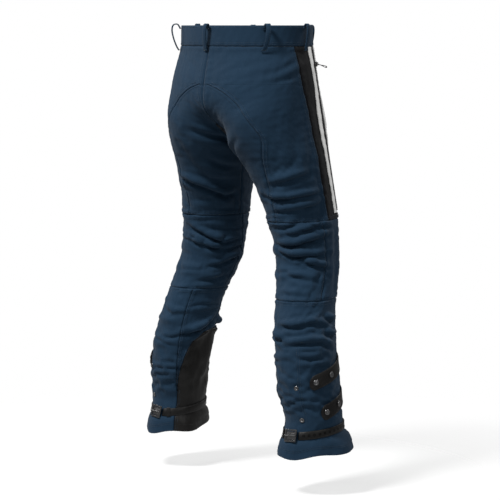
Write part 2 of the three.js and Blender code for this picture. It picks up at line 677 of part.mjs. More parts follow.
function makeFly() {
  const zipAt = (z) => along(-Math.PI + 0.02, z, FLY_ZIP_AT);
  const top = surface(zipAt(FLY_TOP), FLY_TOP);
  const low = surface(zipAt(FLY_LOW), FLY_LOW);
  const up = top.clone().sub(low);
  const length = up.length();
  up.normalize();
  const n = normal(zipAt((FLY_TOP + FLY_LOW) / 2), (FLY_TOP + FLY_LOW) / 2);
  const side = new THREE.Vector3().crossVectors(up, n).normalize();
  n.crossVectors(side, up);
  const steps = [0, 0.2, 0.35, 0.5, 0.65, 0.8, 1].map((t) => lerp(FLY_TOP, FLY_LOW, t));
  // How far the cloth bulges past the zip's straight line at each height.
  const bulge = steps.map((z) => surface(zipAt(z), z).sub(top).dot(n));
  const bow = Math.max(...bulge) + REST_GAP;
  const dip = Math.max(0, -Math.min(...bulge)); // where the cloth falls short of the line
  const place = (down, out) =>
    new THREE.Matrix4().makeBasis(side, up, n).setPosition(
      top.clone().addScaledVector(up, -down).addScaledVector(n, out),
    );
  const chain = new THREE.BoxGeometry(5, length - 4, 1.6).applyMatrix4(place(length / 2, bow + 0.8));
  add("fly_zip_chain", chain, "black_metal");
  const tab = new THREE.BoxGeometry(5, 16, 1.2).translate(0, -10, SLIDER_THICK - 0.2);
  const body = sliderBody().scale(0.8, 0.8, 0.8);
  add("fly_zip_slider", joined(body, tab).applyMatrix4(place(10, bow + 2)), "black_metal");
  const flap = gridSolid(8, 4, (i, j, layer) => {
    const z = lerp(FLY_TOP + 2, FLY_LOW - 8, i / 8);
    const round = i === 8 ? 0.7 : 1;
    const theta = along(-Math.PI + 0.02, z, 1 + ((FLY_WIDTH * j) / 4) * round);
    return offset(theta, z, bow + dip + FLAP_CLEAR + (layer ? 0 : CLOTH * 0.7));
  });
  add("fly_flap", flap, "navy");
  const button = stud(BUTTON_RADIUS, BUTTON_THICK);
  const onBand = WAISTBAND_PROUD + REST_GAP + BUTTON_THICK / 2;
  button.applyMatrix4(frameAt(along(-Math.PI, BUTTON_Z, BUTTON_AT), BUTTON_Z, onBand));
  add("waist_button", button, "steel");
}

// ---- Belt loops ----
// Each stands on the waistband: name, side, angle, and how far it stands off.
const LOOPS = [
  ["belt_loop_centre_back", 1, 180, 12],
  ["belt_loop_back_left", 1, 88, 21],
  ["belt_loop_back_right", -1, 78, 16],
  ["belt_loop_side_left", 1, -12, 12],
  ["belt_loop_side_right", -1, -12, 12],
  ["belt_loop_front_left", 1, -118, 12],
  ["belt_loop_front_right", -1, -118, 12],
];

function makeBeltLoops() {
  for (const [name, side, degrees, reach] of LOOPS) {
    const theta = rad(degrees);
    const n = degrees === 180 ? new THREE.Vector3(0, 1, 0) : normal(theta, -25);
    n.z = 0;
    n.normalize();
    const foot = surface(theta, -25);
    if (degrees === 180) foot.x = 0;
    const bulge = Math.max(0, surface(theta, LOOP_LOW).sub(foot).dot(n)); // of the cloth under its end
    const base = LOOP_STAND + REST_GAP + LOOP_THICK / 2;
    const line = [
      [base, -9],
      [base + reach * 0.35, LOOP_TOP - 1],
      [base + reach * 0.85, LOOP_TOP - 3],
      [base + reach, -13],
      [base + reach * 0.8, 0.54 * LOOP_LOW],
      [base + reach * 0.45, LOOP_LOW + 9],
      [base + Math.max(0.6, bulge), LOOP_LOW],
    ];
    const geometry = ribbon(line, LOOP_THICK, LOOP_WIDTH, 16);
    foot.z = 0;
    const up = new THREE.Vector3(0, 0, 1);
    const across = new THREE.Vector3().crossVectors(n, up);
    geometry.applyMatrix4(new THREE.Matrix4().makeBasis(n, up, across).setPosition(foot));
    add(name, side > 0 ? geometry : mirrored(geometry), "navy");
  }
}

// ---- Calf straps, ankle belt and buckle ----
function makeStrap(name, { z, tip }) {
  const radius = leg.a(z);
  const middle = (theta) => z - STRAP_SLOPE * theta * radius;
  const lie = { outer: REST_GAP + STRAP_THICK + 0.4, inner: REST_GAP + 0.4 };
  const span = { from: rad(STRAP_START_DEG), to: rad(tip), cols: 18, tip: STRAP_WIDTH / 2 };
  addPair(name, band({ ...span, ...lie, middle, width: STRAP_WIDTH }), "leather");
  ["_snap_tip", "_snap_inner"].forEach((suffix, i) => {
    const theta = rad(tip - SNAP_STEPS_DEG[i]);
    const at = frameAt(theta, middle(theta), lie.outer + REST_GAP / 2 + SNAP_HEIGHT / 2);
    addPair(name + suffix, stud(SNAP_RADIUS, SNAP_HEIGHT).applyMatrix4(at), "black_metal");
  });
}

function makeAnkleBelt() {
  const radius = leg.a(BELT_Z);
  const middle = (theta) => BELT_Z - BELT_SLOPE * radius * Math.sin(theta);
  const lie = { outer: REST_GAP + BELT_THICK + 0.6, inner: REST_GAP + 0.6 };
  const gap = (BUCKLE_LENGTH / 2 + 1) / radius; // the belt stops at the buckle's two bars
  const span = { from: rad(BUCKLE_AT_DEG) + gap - 2 * Math.PI, to: rad(BUCKLE_AT_DEG) - gap, cols: 22 };
  addPair("ankle_belt", band({ ...span, ...lie, middle, width: BELT_WIDTH }), "leather");
  const theta = rad(BUCKLE_AT_DEG);
  const half = [BUCKLE_LENGTH / 2, BUCKLE_HEIGHT / 2];
  const frame = new THREE.Shape();
  frame.moveTo(-half[0], -half[1]);
  frame.lineTo(half[0], -half[1]);
  frame.lineTo(half[0], half[1]);
  frame.lineTo(-half[0], half[1]);
  frame.closePath();
  const window = new THREE.Path();
  const [wx, wy] = [half[0] - BUCKLE_BAR, half[1] - BUCKLE_BAR];
  window.moveTo(-wx, -wy);
  window.lineTo(-wx, wy);
  window.lineTo(wx, wy);
  window.lineTo(wx, -wy);
  window.closePath();
  frame.holes.push(window);
  const lift = lie.outer + REST_GAP;
  const ring = new THREE.ExtrudeGeometry(frame, { depth: BUCKLE_THICK, bevelEnabled: false });
  const tang = new THREE.BoxGeometry(2 * wx, BELT_WIDTH, 1.6).translate(0, 0, -0.2);
  const bridge = new THREE.BoxGeometry(2 * wx + 2, BELT_WIDTH * 0.5, 1.2).translate(0, 0, 0.6);
  const buckle = joined(ring, tang, bridge).applyMatrix4(frameAt(theta, middle(theta), lift));
  addPair("buckle_frame", buckle, "black_metal");
  const prong = new THREE.CylinderGeometry(PRONG_RADIUS, PRONG_RADIUS, BUCKLE_LENGTH - 2, 10);
  prong.rotateZ(Math.PI / 2).translate(0, 0, BUCKLE_THICK + PRONG_RADIUS + 0.4);
  addPair("buckle_prong", prong.applyMatrix4(frameAt(theta, middle(theta), lift)), "steel");
}

// ---- Knee protectors, inside the knee's front panel ----
function makeKneeArmour() {
  const armour = { top: KNEE_SEAM_TOP - 17, low: KNEE_SEAM_LOW + 12, cols: 6 };
  const around = { from: () => rad(-138), to: () => rad(-42) };
  const depth = { outer: -CLOTH - 3, inner: -CLOTH - 3 - ARMOUR_THICK };
  addPair("knee_protector", panel({ ...armour, ...around, ...depth }), "foam");
}

makeWaistband();
makeUpperPanels();
makeKneePanels();
makeLowerLeg();
makeLining();
makeVentZips();
makeFly();
makeBeltLoops();
makeStrap("upper_strap", UPPER_STRAP);
makeStrap("lower_strap", LOWER_STRAP);
makeAnkleBelt();
makeKneeArmour();

export default trousers;
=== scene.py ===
# Riding trousers: the looks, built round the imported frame. Metres, +Z up, the wearer faces -Y.
import json
import math

import bmesh
import bpy
import numpy as np
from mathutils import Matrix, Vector

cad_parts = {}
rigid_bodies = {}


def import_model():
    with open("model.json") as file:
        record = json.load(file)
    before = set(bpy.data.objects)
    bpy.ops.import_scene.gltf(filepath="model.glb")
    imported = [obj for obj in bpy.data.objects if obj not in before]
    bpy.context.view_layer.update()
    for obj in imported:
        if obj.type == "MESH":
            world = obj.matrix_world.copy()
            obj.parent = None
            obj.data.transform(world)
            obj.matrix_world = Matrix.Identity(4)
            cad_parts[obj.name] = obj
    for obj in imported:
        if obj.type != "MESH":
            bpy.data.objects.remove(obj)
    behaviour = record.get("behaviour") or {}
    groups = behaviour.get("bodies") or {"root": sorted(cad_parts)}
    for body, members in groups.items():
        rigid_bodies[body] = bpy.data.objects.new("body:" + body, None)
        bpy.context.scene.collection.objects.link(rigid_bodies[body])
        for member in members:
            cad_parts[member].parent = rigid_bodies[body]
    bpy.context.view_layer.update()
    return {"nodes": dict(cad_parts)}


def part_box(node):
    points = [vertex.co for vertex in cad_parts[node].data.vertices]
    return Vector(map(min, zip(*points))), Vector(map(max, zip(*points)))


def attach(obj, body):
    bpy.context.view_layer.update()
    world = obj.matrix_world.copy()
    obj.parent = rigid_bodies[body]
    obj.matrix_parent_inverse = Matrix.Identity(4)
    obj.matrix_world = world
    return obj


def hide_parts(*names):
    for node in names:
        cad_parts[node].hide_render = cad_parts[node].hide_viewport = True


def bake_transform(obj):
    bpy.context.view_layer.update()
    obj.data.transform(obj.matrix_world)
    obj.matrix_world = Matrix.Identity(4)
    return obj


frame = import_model()
MM = 0.001
HIPS = "hips_and_thighs"
SIDES = {"left": 1, "right": -1}

# ---- The trousers' outer surface, as part.mjs makes it (millimetres) ----
WAISTBAND = -50.0
CROTCH = -285.0
KNEE_TOP = -465.0
KNEE_LOW = -650.0
HEM = -1014.0
HEM_TILT = 0.1
HEM_TILT_START = -880.0
ZIP_ANGLE = math.radians(-46)
ZIP_REACH = math.radians(62)
LEG = np.array([  # height, centre x, centre y, half width, half depth, turn in degrees
    [-120, 95, 3, 100, 138, 0],
    [-200, 97, 2, 104, 142, 0],
    [-240, 100, -1, 104, 138, 0],
    [-262, 102, -3, 104, 134, 0],
    [CROTCH, 105, -6, 105, 128, 0],
    [-305, 113, -11, 102, 121, 0],
    [-325, 120, -16, 97, 114, 0],
    [-350, 128, -21, 91, 107, 0],
    [-385, 137, -30, 86, 99, 1],
    [-425, 145, -38, 81, 93, 2],
    [-465, 151, -43, 78, 89, 3],
    [-510, 158, -48, 76, 84, 4],
    [-560, 165, -47, 74, 81, 5],
    [-610, 177, -32, 72, 78, 6],
    [-650, 187, -15, 69, 74, 7],
    [-700, 198, 1, 68, 74, 8],
    [-775, 213, 12, 71, 76, 9],
    [-860, 225, 13, 71.5, 77, 11],
    [-910, 232, 8, 69.5, 72, 12],
    [-935, 236, 5, 68, 68.5, 13],
    [-960, 236, 6, 63, 73, 14],
    [-970, 237, 6, 64, 76, 14],
    [-985, 240, 4, 70, 89, 15],
    [-1035, 246, 1, 76, 98, 16],
])
TORSO = np.array([  # height, half width, front reach, back reach, squareness
    [10, 181, 134, 127, 2.1],
    [0, 180, 134, 126, 2.1],
    [-50, 181, 133, 127, 2.12],
    [-85, 189, 132.5, 133, 2.2],
    [-120, 195, 132, 142, 2.3],
    [-165, 200, 134, 149, 2.4],
    [-200, 203, 135, 150, 2.5],
    [-240, 206, 130, 146, 2.5],
    [CROTCH, 210, 122, 138, 2.5],
])
RISE = np.array([  # height, y of the rise seam in front and behind
    [-120, -132, 142],
    [-165, -130, 145],
    [-200, -122, 135],
    [-222, -108, 116],
    [-240, -90, 92],
    [-258, -66, 64],
    [-272, -42, 36],
    [-281, -20, 12],
    [CROTCH, -4, -4],
])
SEAT_EDGE = np.array([  # the horseshoe seam: its distance from the centre plane
    [-140, 12],
    [-150, 44],
    [-165, 74],
    [-190, 106],
    [-230, 138],
    [-270, 158],
    [-325, 149],
    [-400, 148],
    [KNEE_TOP, 153],
])
CLEFT_ROUNDING = 38.0
LOBES_START = -135.0
LOBES_FULL = -238.0


def smooth(x):
    x = np.clip(x, 0, 1)
    return x * x * (3 - 2 * x)


def column(table, index, at):
    """A smooth function of height through one column of a table whose heights fall."""
    z, f = table[::-1, 0], table[::-1, index]
    slope = np.empty_like(f)
    slope[1:-1] = (f[2:] - f[:-2]) / (z[2:] - z[:-2])
    slope[0] = (f[1] - f[0]) / (z[1] - z[0])
    slope[-1] = (f[-1] - f[-2]) / (z[-1] - z[-2])
    at = np.clip(at, z[0], z[-1])
    i = np.clip(np.searchsorted(z, at) - 1, 0, len(z) - 2)
    h = z[i + 1] - z[i]
    t = (at - z[i]) / h
    return (f[i] * (1 + 2 * t) * (1 - t) ** 2 + slope[i] * h * t * (1 - t) ** 2
            + f[i + 1] * t * t * (3 - 2 * t) + slope[i + 1] * h * t * t * (t - 1))


def lobe_point(theta, z):
    cx, cy, a, b = (column(LEG, k, z) for k in (1, 2, 3, 4))
    turn = np.radians(column(LEG, 5, z))
    c, s = np.cos(theta), np.sin(theta)
    px = cx + a * c * np.cos(turn) - b * s * np.sin(turn)
    py = cy + a * c * np.sin(turn) + b * s * np.cos(turn)
    x = cx + cx * c
    soft = CLEFT_ROUNDING * smooth((z - CROTCH) / 50) + 1e-6
    bent = (cx * (np.hypot(x, soft) - soft)) / (np.hypot(cx, soft) - soft)
    share = 1 - ((cx - bent) / a) ** 2
    seam = np.where(s >= 0, column(RISE, 2, z) - cy, cy - column(RISE, 1, z))
    lift = (seam ** 2 - b * b * (1 - (cx / a) ** 2)) * (1 - smooth(x / cx))
    depth = np.sqrt(np.maximum(0, b * b * share + lift))
    open_top = (z > CROTCH) & (c < 0)
    return np.where(open_top, x, px), np.where(open_top, cy + np.where(s >= 0, depth, -depth), py)


def torso_point(theta, z):
    power = 2 / column(TORSO, 4, z)
    c, s = np.cos(theta / 2), np.sin(theta / 2)
    reach = np.where(s >= 0, column(TORSO, 3, z), column(TORSO, 2, z))
    return column(TORSO, 1, z) * np.maximum(0, c) ** power, np.sign(s) * reach * np.abs(s) ** power


def lobe_share(z):
    return smooth((LOBES_START - z) / (LOBES_START - LOBES_FULL))


def body_point(theta, z):
    k = lobe_share(z)
    (tx, ty), (lx, ly) = torso_point(theta, z), lobe_point(theta, z)
    return tx + k * (lx - tx), ty + k * (ly - ty)


def on_body(z):
    x, y = body_point(np.array(ZIP_ANGLE), np.array(z))
    return np.array([float(x), float(y), z])


ZIP_TOP, ZIP_LOW = on_body(WAISTBAND - 6), on_body(KNEE_TOP + 19)


def zip_theta(z):
    """The angle at which the straight vent zip crosses the section, by bisection."""
    t = (z - ZIP_TOP[2]) / (ZIP_LOW[2] - ZIP_TOP[2])
    zx, zy = ZIP_TOP[0] + t * (ZIP_LOW[0] - ZIP_TOP[0]), ZIP_TOP[1] + t * (ZIP_LOW[1] - ZIP_TOP[1])
    mx, my = column(LEG, 1, z) * lobe_share(z), column(LEG, 2, z) * lobe_share(z)
    wanted = np.arctan2(zy - my, zx - mx)
    low, high = np.full_like(z, math.radians(-150)), np.full_like(z, math.radians(30))
    for _ in range(30):
        middle = (low + high) / 2
        x, y = body_point(middle, z)
        less = np.arctan2(y - my, x - mx) < wanted
        low, high = np.where(less, middle, low), np.where(less, high, middle)
    x, y = body_point(middle, z)
    fade = smooth((z + 520) / 60) * smooth((10 - z) / 50)
    return middle, (zx - x) * fade, (zy - y) * fade


ZIP_Z = np.linspace(12, -1030, 1043)
ZIP_THETA, ZIP_PULL_X, ZIP_PULL_Y = zip_theta(ZIP_Z)


def zip_at(z):
    return np.interp(-np.asarray(z, float), -ZIP_Z, ZIP_THETA)


def surface(theta, z):
    """Points of the plain outer surface on the left side, in millimetres."""
    theta, z = np.broadcast_arrays(np.asarray(theta, float), np.asarray(z, float))
    turned = np.mod(theta + np.pi, 2 * np.pi) - np.pi
    wrapped = np.where(z > CROTCH, np.clip(theta, -np.pi, np.pi), turned)
    x, y = body_point(wrapped, z)
    near = smooth(1 - np.abs(wrapped - zip_at(z)) / ZIP_REACH)
    x = x + near * np.interp(-z, -ZIP_Z, ZIP_PULL_X)
    y = y + near * np.interp(-z, -ZIP_Z, ZIP_PULL_Y)
    hem = smooth((HEM_TILT_START - z) / (HEM_TILT_START - HEM))
    return np.stack([x, y, z - HEM_TILT * hem * (y - column(LEG, 2, z))], -1)


def unit(v):
    return v / np.maximum(np.linalg.norm(v, axis=-1, keepdims=True), 1e-9)


def normal_of(point, theta, z):
    """The outward normal of a surface function of angle and height."""
    theta, z = np.broadcast_arrays(np.asarray(theta, float), np.asarray(z, float))
    open_top = z > CROTCH
    high = np.where(open_top, np.minimum(theta + 0.02, np.pi), theta + 0.02)
    low = np.where(open_top, np.maximum(theta - 0.02, -np.pi), theta - 0.02)
    round_ = point(high, z) - point(low, z)
    up = point(theta, np.minimum(z + 1.5, 10)) - point(theta, z - 1.5)
    return unit(np.cross(round_, up))


# ---- The draped cloth: a grid of displacements from the plain surface, one grid a side ----
COLS = 60
ROWS = 114
GRID_Z = np.concatenate([np.linspace(0, CROTCH, 33), np.linspace(CROTCH, HEM - 4, ROWS - 32)[1:]])
GRID_THETA = np.linspace(-np.pi, np.pi, COLS + 1)
drape = {side: np.zeros((ROWS, COLS + 1, 3)) for side in SIDES}


def cubic(p0, p1, p2, p3, t):
    return p1 + 0.5 * t * (p2 - p0 + t * (2 * p0 - 5 * p1 + 4 * p2 - p3 + t * (3 * (p1 - p2) + p3 - p0)))


def draped_shift(side, theta, z):
    """The displacement at any angle and height, by bicubic interpolation of the grid."""
    g = drape[side]
    closed = z <= CROTCH
    turned = np.where(closed, np.mod(theta + np.pi, 2 * np.pi), np.clip(theta, -np.pi, np.pi) + np.pi)
    t = turned / (2 * np.pi) * COLS
    j = np.clip(np.floor(t).astype(int), 0, COLS - 1)
    ft = (t - j)[..., None]
    r = np.interp(-z, -GRID_Z, np.arange(ROWS))
    i = np.clip(np.floor(r).astype(int), 0, ROWS - 2)
    fr = (r - i)[..., None]
    rows = []
    for di in (-1, 0, 1, 2):
        ii = np.clip(i + di, 0, ROWS - 1)
        taps = []
        for dj in (-1, 0, 1, 2):
            jj = np.where(closed, np.mod(j + dj, COLS), np.clip(j + dj, 0, COLS))
            taps.append(g[ii, jj])
        rows.append(cubic(*taps, ft))
    return cubic(*rows, fr)


def cloth(side, theta, z, out=0.0):
    """Points on the draped cloth of a side, at a distance out along its normal. Millimetres."""
    theta, z = np.broadcast_arrays(np.asarray(theta, float), np.asarray(z, float))
    sign = np.array([SIDES[side], 1, 1])

    def point(t, h):
        return surface(t, h) + draped_shift(side, t, h)

    p = point(theta, z)
    height = np.asarray(out, float) + creases(side, theta, z)
    p = p + normal_of(point, theta, z) * height[..., None]
    centre = z > CROTCH - 6
    p[..., 0] = np.where(centre, np.maximum(p[..., 0], 0.0), p[..., 0])
    return p * sign


# ---- Folds: where the cloth has slack, each a soft ridge with a hollow under it ----
FOLD_SCALE = 82.0  # millimetres of cloth for a radian round the leg


def fold_field(theta, z, points, height, width):
    """One crease along a given line of (degrees, height) points, with the cloth full above it."""
    line = np.array([[math.radians(t) * FOLD_SCALE, h] for t, h in points], float)
    here = np.stack([theta * FOLD_SCALE, z], -1)
    lengths = np.linalg.norm(np.diff(line, axis=0), axis=1)
    total, run = lengths.sum(), 0.0
    best = np.full(theta.shape, 1e9)
    above, share = np.zeros_like(best), np.zeros_like(best)
    for (a, b), length in zip(zip(line[:-1], line[1:]), lengths):
        d = (b - a) / length
        t = np.clip((here - a) @ d, 0, length)
        gap = here - (a + t[..., None] * d)
        far = np.linalg.norm(gap, axis=-1)
        closer = far < best
        best = np.where(closer, far, best)
        above = np.where(closer, gap[..., 1], above)
        share = np.where(closer, (run + t) / total, share)
        run += length
    taper = np.sin(np.pi * np.clip(share, 0.03, 0.97)) ** 0.7
    up = np.where(above >= 0, best, -best) / width
    full = np.exp(-(((up - 1.1) / 0.85) ** 2)) + 0.4 * np.exp(-(((up + 1.1) / 0.9) ** 2))
    return height * taper * (full - 0.85 * np.exp(-((up / 0.5) ** 2)))


PULLS = {  # creases over the seat, thighs and calves: their line, height and width
    "left": [
        ([(104, -250), (137, -268), (150, -270), (168, -306)], 7, 12),
        ([(86, -290), (103, -334), (126, -372), (158, -380)], 3, 17),
        ([(58, -368), (90, -378), (117, -393), (152, -418), (180, -404)], 7, 10),
        ([(120, -318), (150, -340), (178, -344)], 4, 12),
        ([(76, -492), (120, -519), (148, -537), (182, -530)], 8, 9),
        ([(84, -530), (130, -548), (160, -552), (198, -542)], 7, 8),
        ([(120, -598), (150, -592), (185, -570), (210, -560)], 6, 9),
        ([(112, -632), (150, -628), (188, -612)], 4, 9),
        ([(112, -772), (140, -764), (165, -752), (206, -712)], 8, 10),
        ([(196, -742), (226, -750), (256, -744)], 9, 10),
        ([(60, -700), (92, -716), (126, -712)], 4, 10),
    ],
    "right": [
        ([(-18, -66), (24, -92), (60, -112), (96, -118)], 3, 13),
        ([(-14, -98), (30, -124), (72, -140)], 3, 13),
        ([(60, -78), (100, -92), (140, -104)], 1.5, 10),
        ([(92, -268), (120, -296), (140, -330)], 4, 12),
        ([(78, -378), (62, -374), (37, -363), (5, -350)], 7, 10),
        ([(100, -404), (76, -412), (51, -410), (-4, -398)], 9, 9),
        ([(98, -444), (60, -440), (20, -430), (-4, -420)], 5, 8),
        ([(104, -478), (72, -480), (48, -471)], 6, 8),
        ([(76, -496), (44, -490), (20, -479), (-20, -484)], 8, 8),
        ([(100, -520), (60, -522), (30, -512), (-6, -500)], 9, 8),
        ([(98, -532), (70, -546), (30, -548), (0, -540)], 9, 8),
        ([(52, -556), (24, -572), (-8, -580)], 7, 8),
        ([(84, -590), (50, -598), (20, -606)], 5, 9),
        ([(110, -640), (70, -634), (30, -640)], 3, 9),
        ([(92, -706), (60, -712), (24, -702), (-16, -712)], 7, 9),
        ([(120, -724), (100, -738), (78, -744)], 9, 9),
        ([(72, -752), (40, -748), (6, -746), (-24, -766)], 8, 9),
        ([(60, -778), (30, -784), (-4, -778)], 5, 9),
        ([(-4, -690), (-24, -702), (-44, -700)], 7, 9),
        ([(-4, -726), (-26, -738), (-50, -734)], 7, 9),
    ],
}


def waves(seed, terms, turns, length):
    """A smooth random field that closes round the leg, about -1 to 1."""
    rng = np.random.default_rng(seed)
    parts = []
    for _ in range(terms):
        turn = int(rng.integers(-turns, turns + 1))
        parts.append((turn, rng.uniform(0.7, 1.5) / length, rng.uniform(0, 2 * np.pi)))

    def field(theta, z):
        total = sum(np.sin(k * theta + 2 * np.pi * w * z + phase) for k, w, phase in parts)
        return total * 1.5 / terms ** 0.5 / 1.4

    return field


WARP = {
    "left": (waves(3, 5, 2, 210), waves(4, 6, 4, 70)),
    "right": (waves(21, 5, 2, 210), waves(22, 6, 4, 70)),
}
PATCHES = {"left": waves(5, 6, 3, 60), "right": waves(26, 6, 3, 60)}
STACK_GAP = 25.0  # between two folds of a stack
STACKED = np.array([  # height, how tall the stacked folds are
    [0, 0],
    [-150, 0],
    [-240, 0.4],
    [-330, 1.2],
    [-385, 3.5],
    [-450, 5.5],
    [-545, 6],
    [-600, 4.5],
    [-655, 2.5],
    [-700, 4],
    [-775, 5],
    [-830, 3],
    [-900, 2.5],
    [-942, 0],
    [-1020, 0],
])


def stacked(side, theta, z):
    """Folds that the slack cloth of a leg stacks into: round ridges with sharp creases between."""
    slow, quick = WARP[side]
    phase = (z + 17 * slow(theta, z) + 5 * quick(theta, z)) / STACK_GAP
    phase = phase + 0.1 * np.sin(2 * np.pi * phase)
    ridge = np.sqrt(np.sin(np.pi * phase) ** 2 + 0.012) ** 0.75 - 0.45
    patch = np.clip(0.55 + 0.6 * PATCHES[side](theta, z), 0.08, 1.15)
    round_ = 0.72 + 0.28 * np.sin(theta) - 0.12 * np.cos(theta)
    return ridge * patch * round_ * np.interp(-z, -STACKED[:, 0], STACKED[:, 1])


def folded(side, theta, z):
    """The height of all folds of a side."""
    theta, z = np.broadcast_arrays(np.asarray(theta, float), np.asarray(z, float))
    wrapped = np.mod(theta + np.pi / 2, 2 * np.pi) - np.pi / 2
    height = stacked(side, theta, z)
    for points, tall, width in PULLS[side]:
        height = height + fold_field(wrapped, z, points, tall, width)
    to_rise = smooth((np.pi - np.abs(theta)) * 3)
    return np.where(z > CROTCH, height * to_rise, height)


def freedom(theta, z):
    """1 where the cloth may fold, 0 where it is held: waistband, fly, vent zip, ankle belt and cuff."""
    free = smooth((-52 - z) / 60) * smooth((z + 945) / 45)
    to_zip = np.abs(theta - zip_at(z)) * 86
    free *= np.where(z > -470, smooth((to_zip - 22) / 45), smooth((-z - 452) / 30) * 1.0)
    fly = np.where(z > -200, smooth((theta + np.pi) * 150 / 60 - 0.6), 1)
    return free * fly


STRAP_SLOPE = 0.38
STRAP_HALF = 17.5
STRAPS = {"upper_strap": (-831.0, math.radians(31)), "lower_strap": (-909.0, math.radians(17))}
STRAP_START = math.radians(-97)
SNAP_STEPS = {"_snap_tip_": math.radians(11), "_snap_inner_": math.radians(43)}
BELT_Z, BELT_SLOPE, BELT_HALF = -960.0, 0.1, 10.0
CUFF_TOP = -973.0


def strap_middle(outer_z, theta):
    return outer_z - STRAP_SLOPE * theta * column(LEG, 3, outer_z)


def press(theta, z):
    """How much the cloth is pressed flat under the calf straps, from 0 to 1."""
    down = np.zeros_like(theta)
    for outer_z, tip in STRAPS.values():
        off = np.abs(z - strap_middle(outer_z, theta)) - STRAP_HALF
        along = smooth((theta - STRAP_START + 0.12) / 0.1) * smooth((tip + 0.14 - theta) / 0.1)
        down = np.maximum(down, along * smooth(1 - off / 16))
    return down


def flutes(side, theta, z):
    """The cuff below the ankle belt stands out in soft flutes that open towards the hem."""
    start = 0.6 if side == "left" else 2.1
    wave = np.sin(3 * theta + start) + 0.8 * np.sin(5 * theta + 2.3 * start) + 0.4 * np.sin(8 * theta - start)
    return 2.6 * wave * smooth((CUFF_TOP - z) / 34)


def hem_edge(side):
    """The height of the hem, which rises and dips where the cuff flutes."""
    start = 1.9 if side == "left" else 0.4
    return lambda theta: HEM + 3.2 * np.sin(3 * theta + start) + 1.6 * np.sin(5 * theta - start)


def creases(side, theta, z):
    """The folds' sharp part, which is added to the simulated drape."""
    held = freedom(theta, z) * (1 - press(theta, z))
    return folded(side, theta, z) * held * SHARP_SHARE + flutes(side, theta, z)


# ---- Cloth simulation ----
SLACK = np.array([  # height, share of extra cloth down the leg
    [0, 0],
    [-60, 0],
    [-150, 0.012],
    [-300, 0.04],
    [-430, 0.07],
    [-480, 0.12],
    [-640, 0.11],
    [-700, 0.08],
    [-880, 0.07],
    [-940, 0],
    [-1020, 0],
])
SIM_FRAMES = 26
SIM_SHARE = 0.7  # of the folds' height, where the simulation starts
SHARP_SHARE = 0.75  # of the folds' height, added again after it, because it softens creases
LARGEST_FOLD = 13.0  # the most that the cloth may leave the plain surface, outwards and inwards
BODY_ROOM = 8.0  # from the plain surface in to the wearer's leg


def sim_layout():
    """Vertex numbers of both sides' grids, with the rise, the inseams and the crotch merged."""
    number, count = {}, 0
    grid = {}
    for side in SIDES:
        ids = np.zeros((ROWS, COLS + 1), int)
        for i in range(ROWS):
            for j in range(COLS + 1):
                edge = j in (0, COLS)
                above, at_crotch = GRID_Z[i] > CROTCH + 0.1, abs(GRID_Z[i] - CROTCH) <= 0.1
                if edge and at_crotch:
                    key = "crotch"
                elif edge and above:
                    key = ("rise", i, j)
                elif edge:
                    key = (side, i, 0)
                else:
                    key = (side, i, j)
                if key not in number:
                    number[key] = count
                    count += 1
                ids[i, j] = number[key]
        grid[side] = ids
    return grid, count


def grid_faces(grid):
    faces = []
    for side, ids in grid.items():
        a, b, c, d = ids[:-1, :-1], ids[1:, :-1], ids[1:, 1:], ids[:-1, 1:]
        quads = np.stack([a, b, c, d] if side == "left" else [a, d, c, b], -1).reshape(-1, 4)
        for quad in quads.tolist():
            corners = list(dict.fromkeys(quad))
            if len(corners) > 2:
                faces.append(corners)
    return faces


def plain_object(name, verts, faces):
    mesh = bpy.data.meshes.new(name)
    mesh.from_pydata(np.asarray(verts, float).tolist(), [], faces)
    mesh.update()
    obj = bpy.data.objects.new(name, mesh)
    bpy.context.scene.collection.objects.link(obj)
    return obj


def simulate():
    """Lets the slack cloth fold over the wearer's legs, and keeps the result in the drape grids."""
    grid, count = sim_layout()
    theta, z = np.meshgrid(GRID_THETA, GRID_Z)
    plain = surface(theta, z)
    outward = normal_of(surface, theta, z)
    free = freedom(theta, z)
    flat = free * (1 - press(theta, z))
    start = {side: plain + outward * (folded(side, theta, z) * flat * SIM_SHARE)[..., None] for side in SIDES}
    start = run_cloth(grid, count, plain, outward, start, free)
    for side in SIDES:
        shift = start[side] - plain
        out = np.sum(shift * outward, -1)
        rest = shift - outward * out[..., None]
        out = np.clip(out, -LARGEST_FOLD * 0.75, LARGEST_FOLD)
        pressed = press(theta, z)
        out = np.where(out > 0, out * (1 - pressed), out)
        slide = np.minimum(1, 9 / np.maximum(np.linalg.norm(rest, axis=-1), 1e-6))
        held = free ** 0.5
        seat = 0.2 + 0.8 * smooth((-GRID_Z - 230) / 170)  # the seat and upper thighs lie smooth
        kept = (held * seat[:, None])[..., None]
        drape[side][:] = (outward * out[..., None] + rest * slide[..., None]) * kept
        drape[side][:, 0, 0] = np.where(GRID_Z > CROTCH, 0, drape[side][:, 0, 0])
        drape[side][:, -1, 0] = np.where(GRID_Z > CROTCH, 0, drape[side][:, -1, 0])


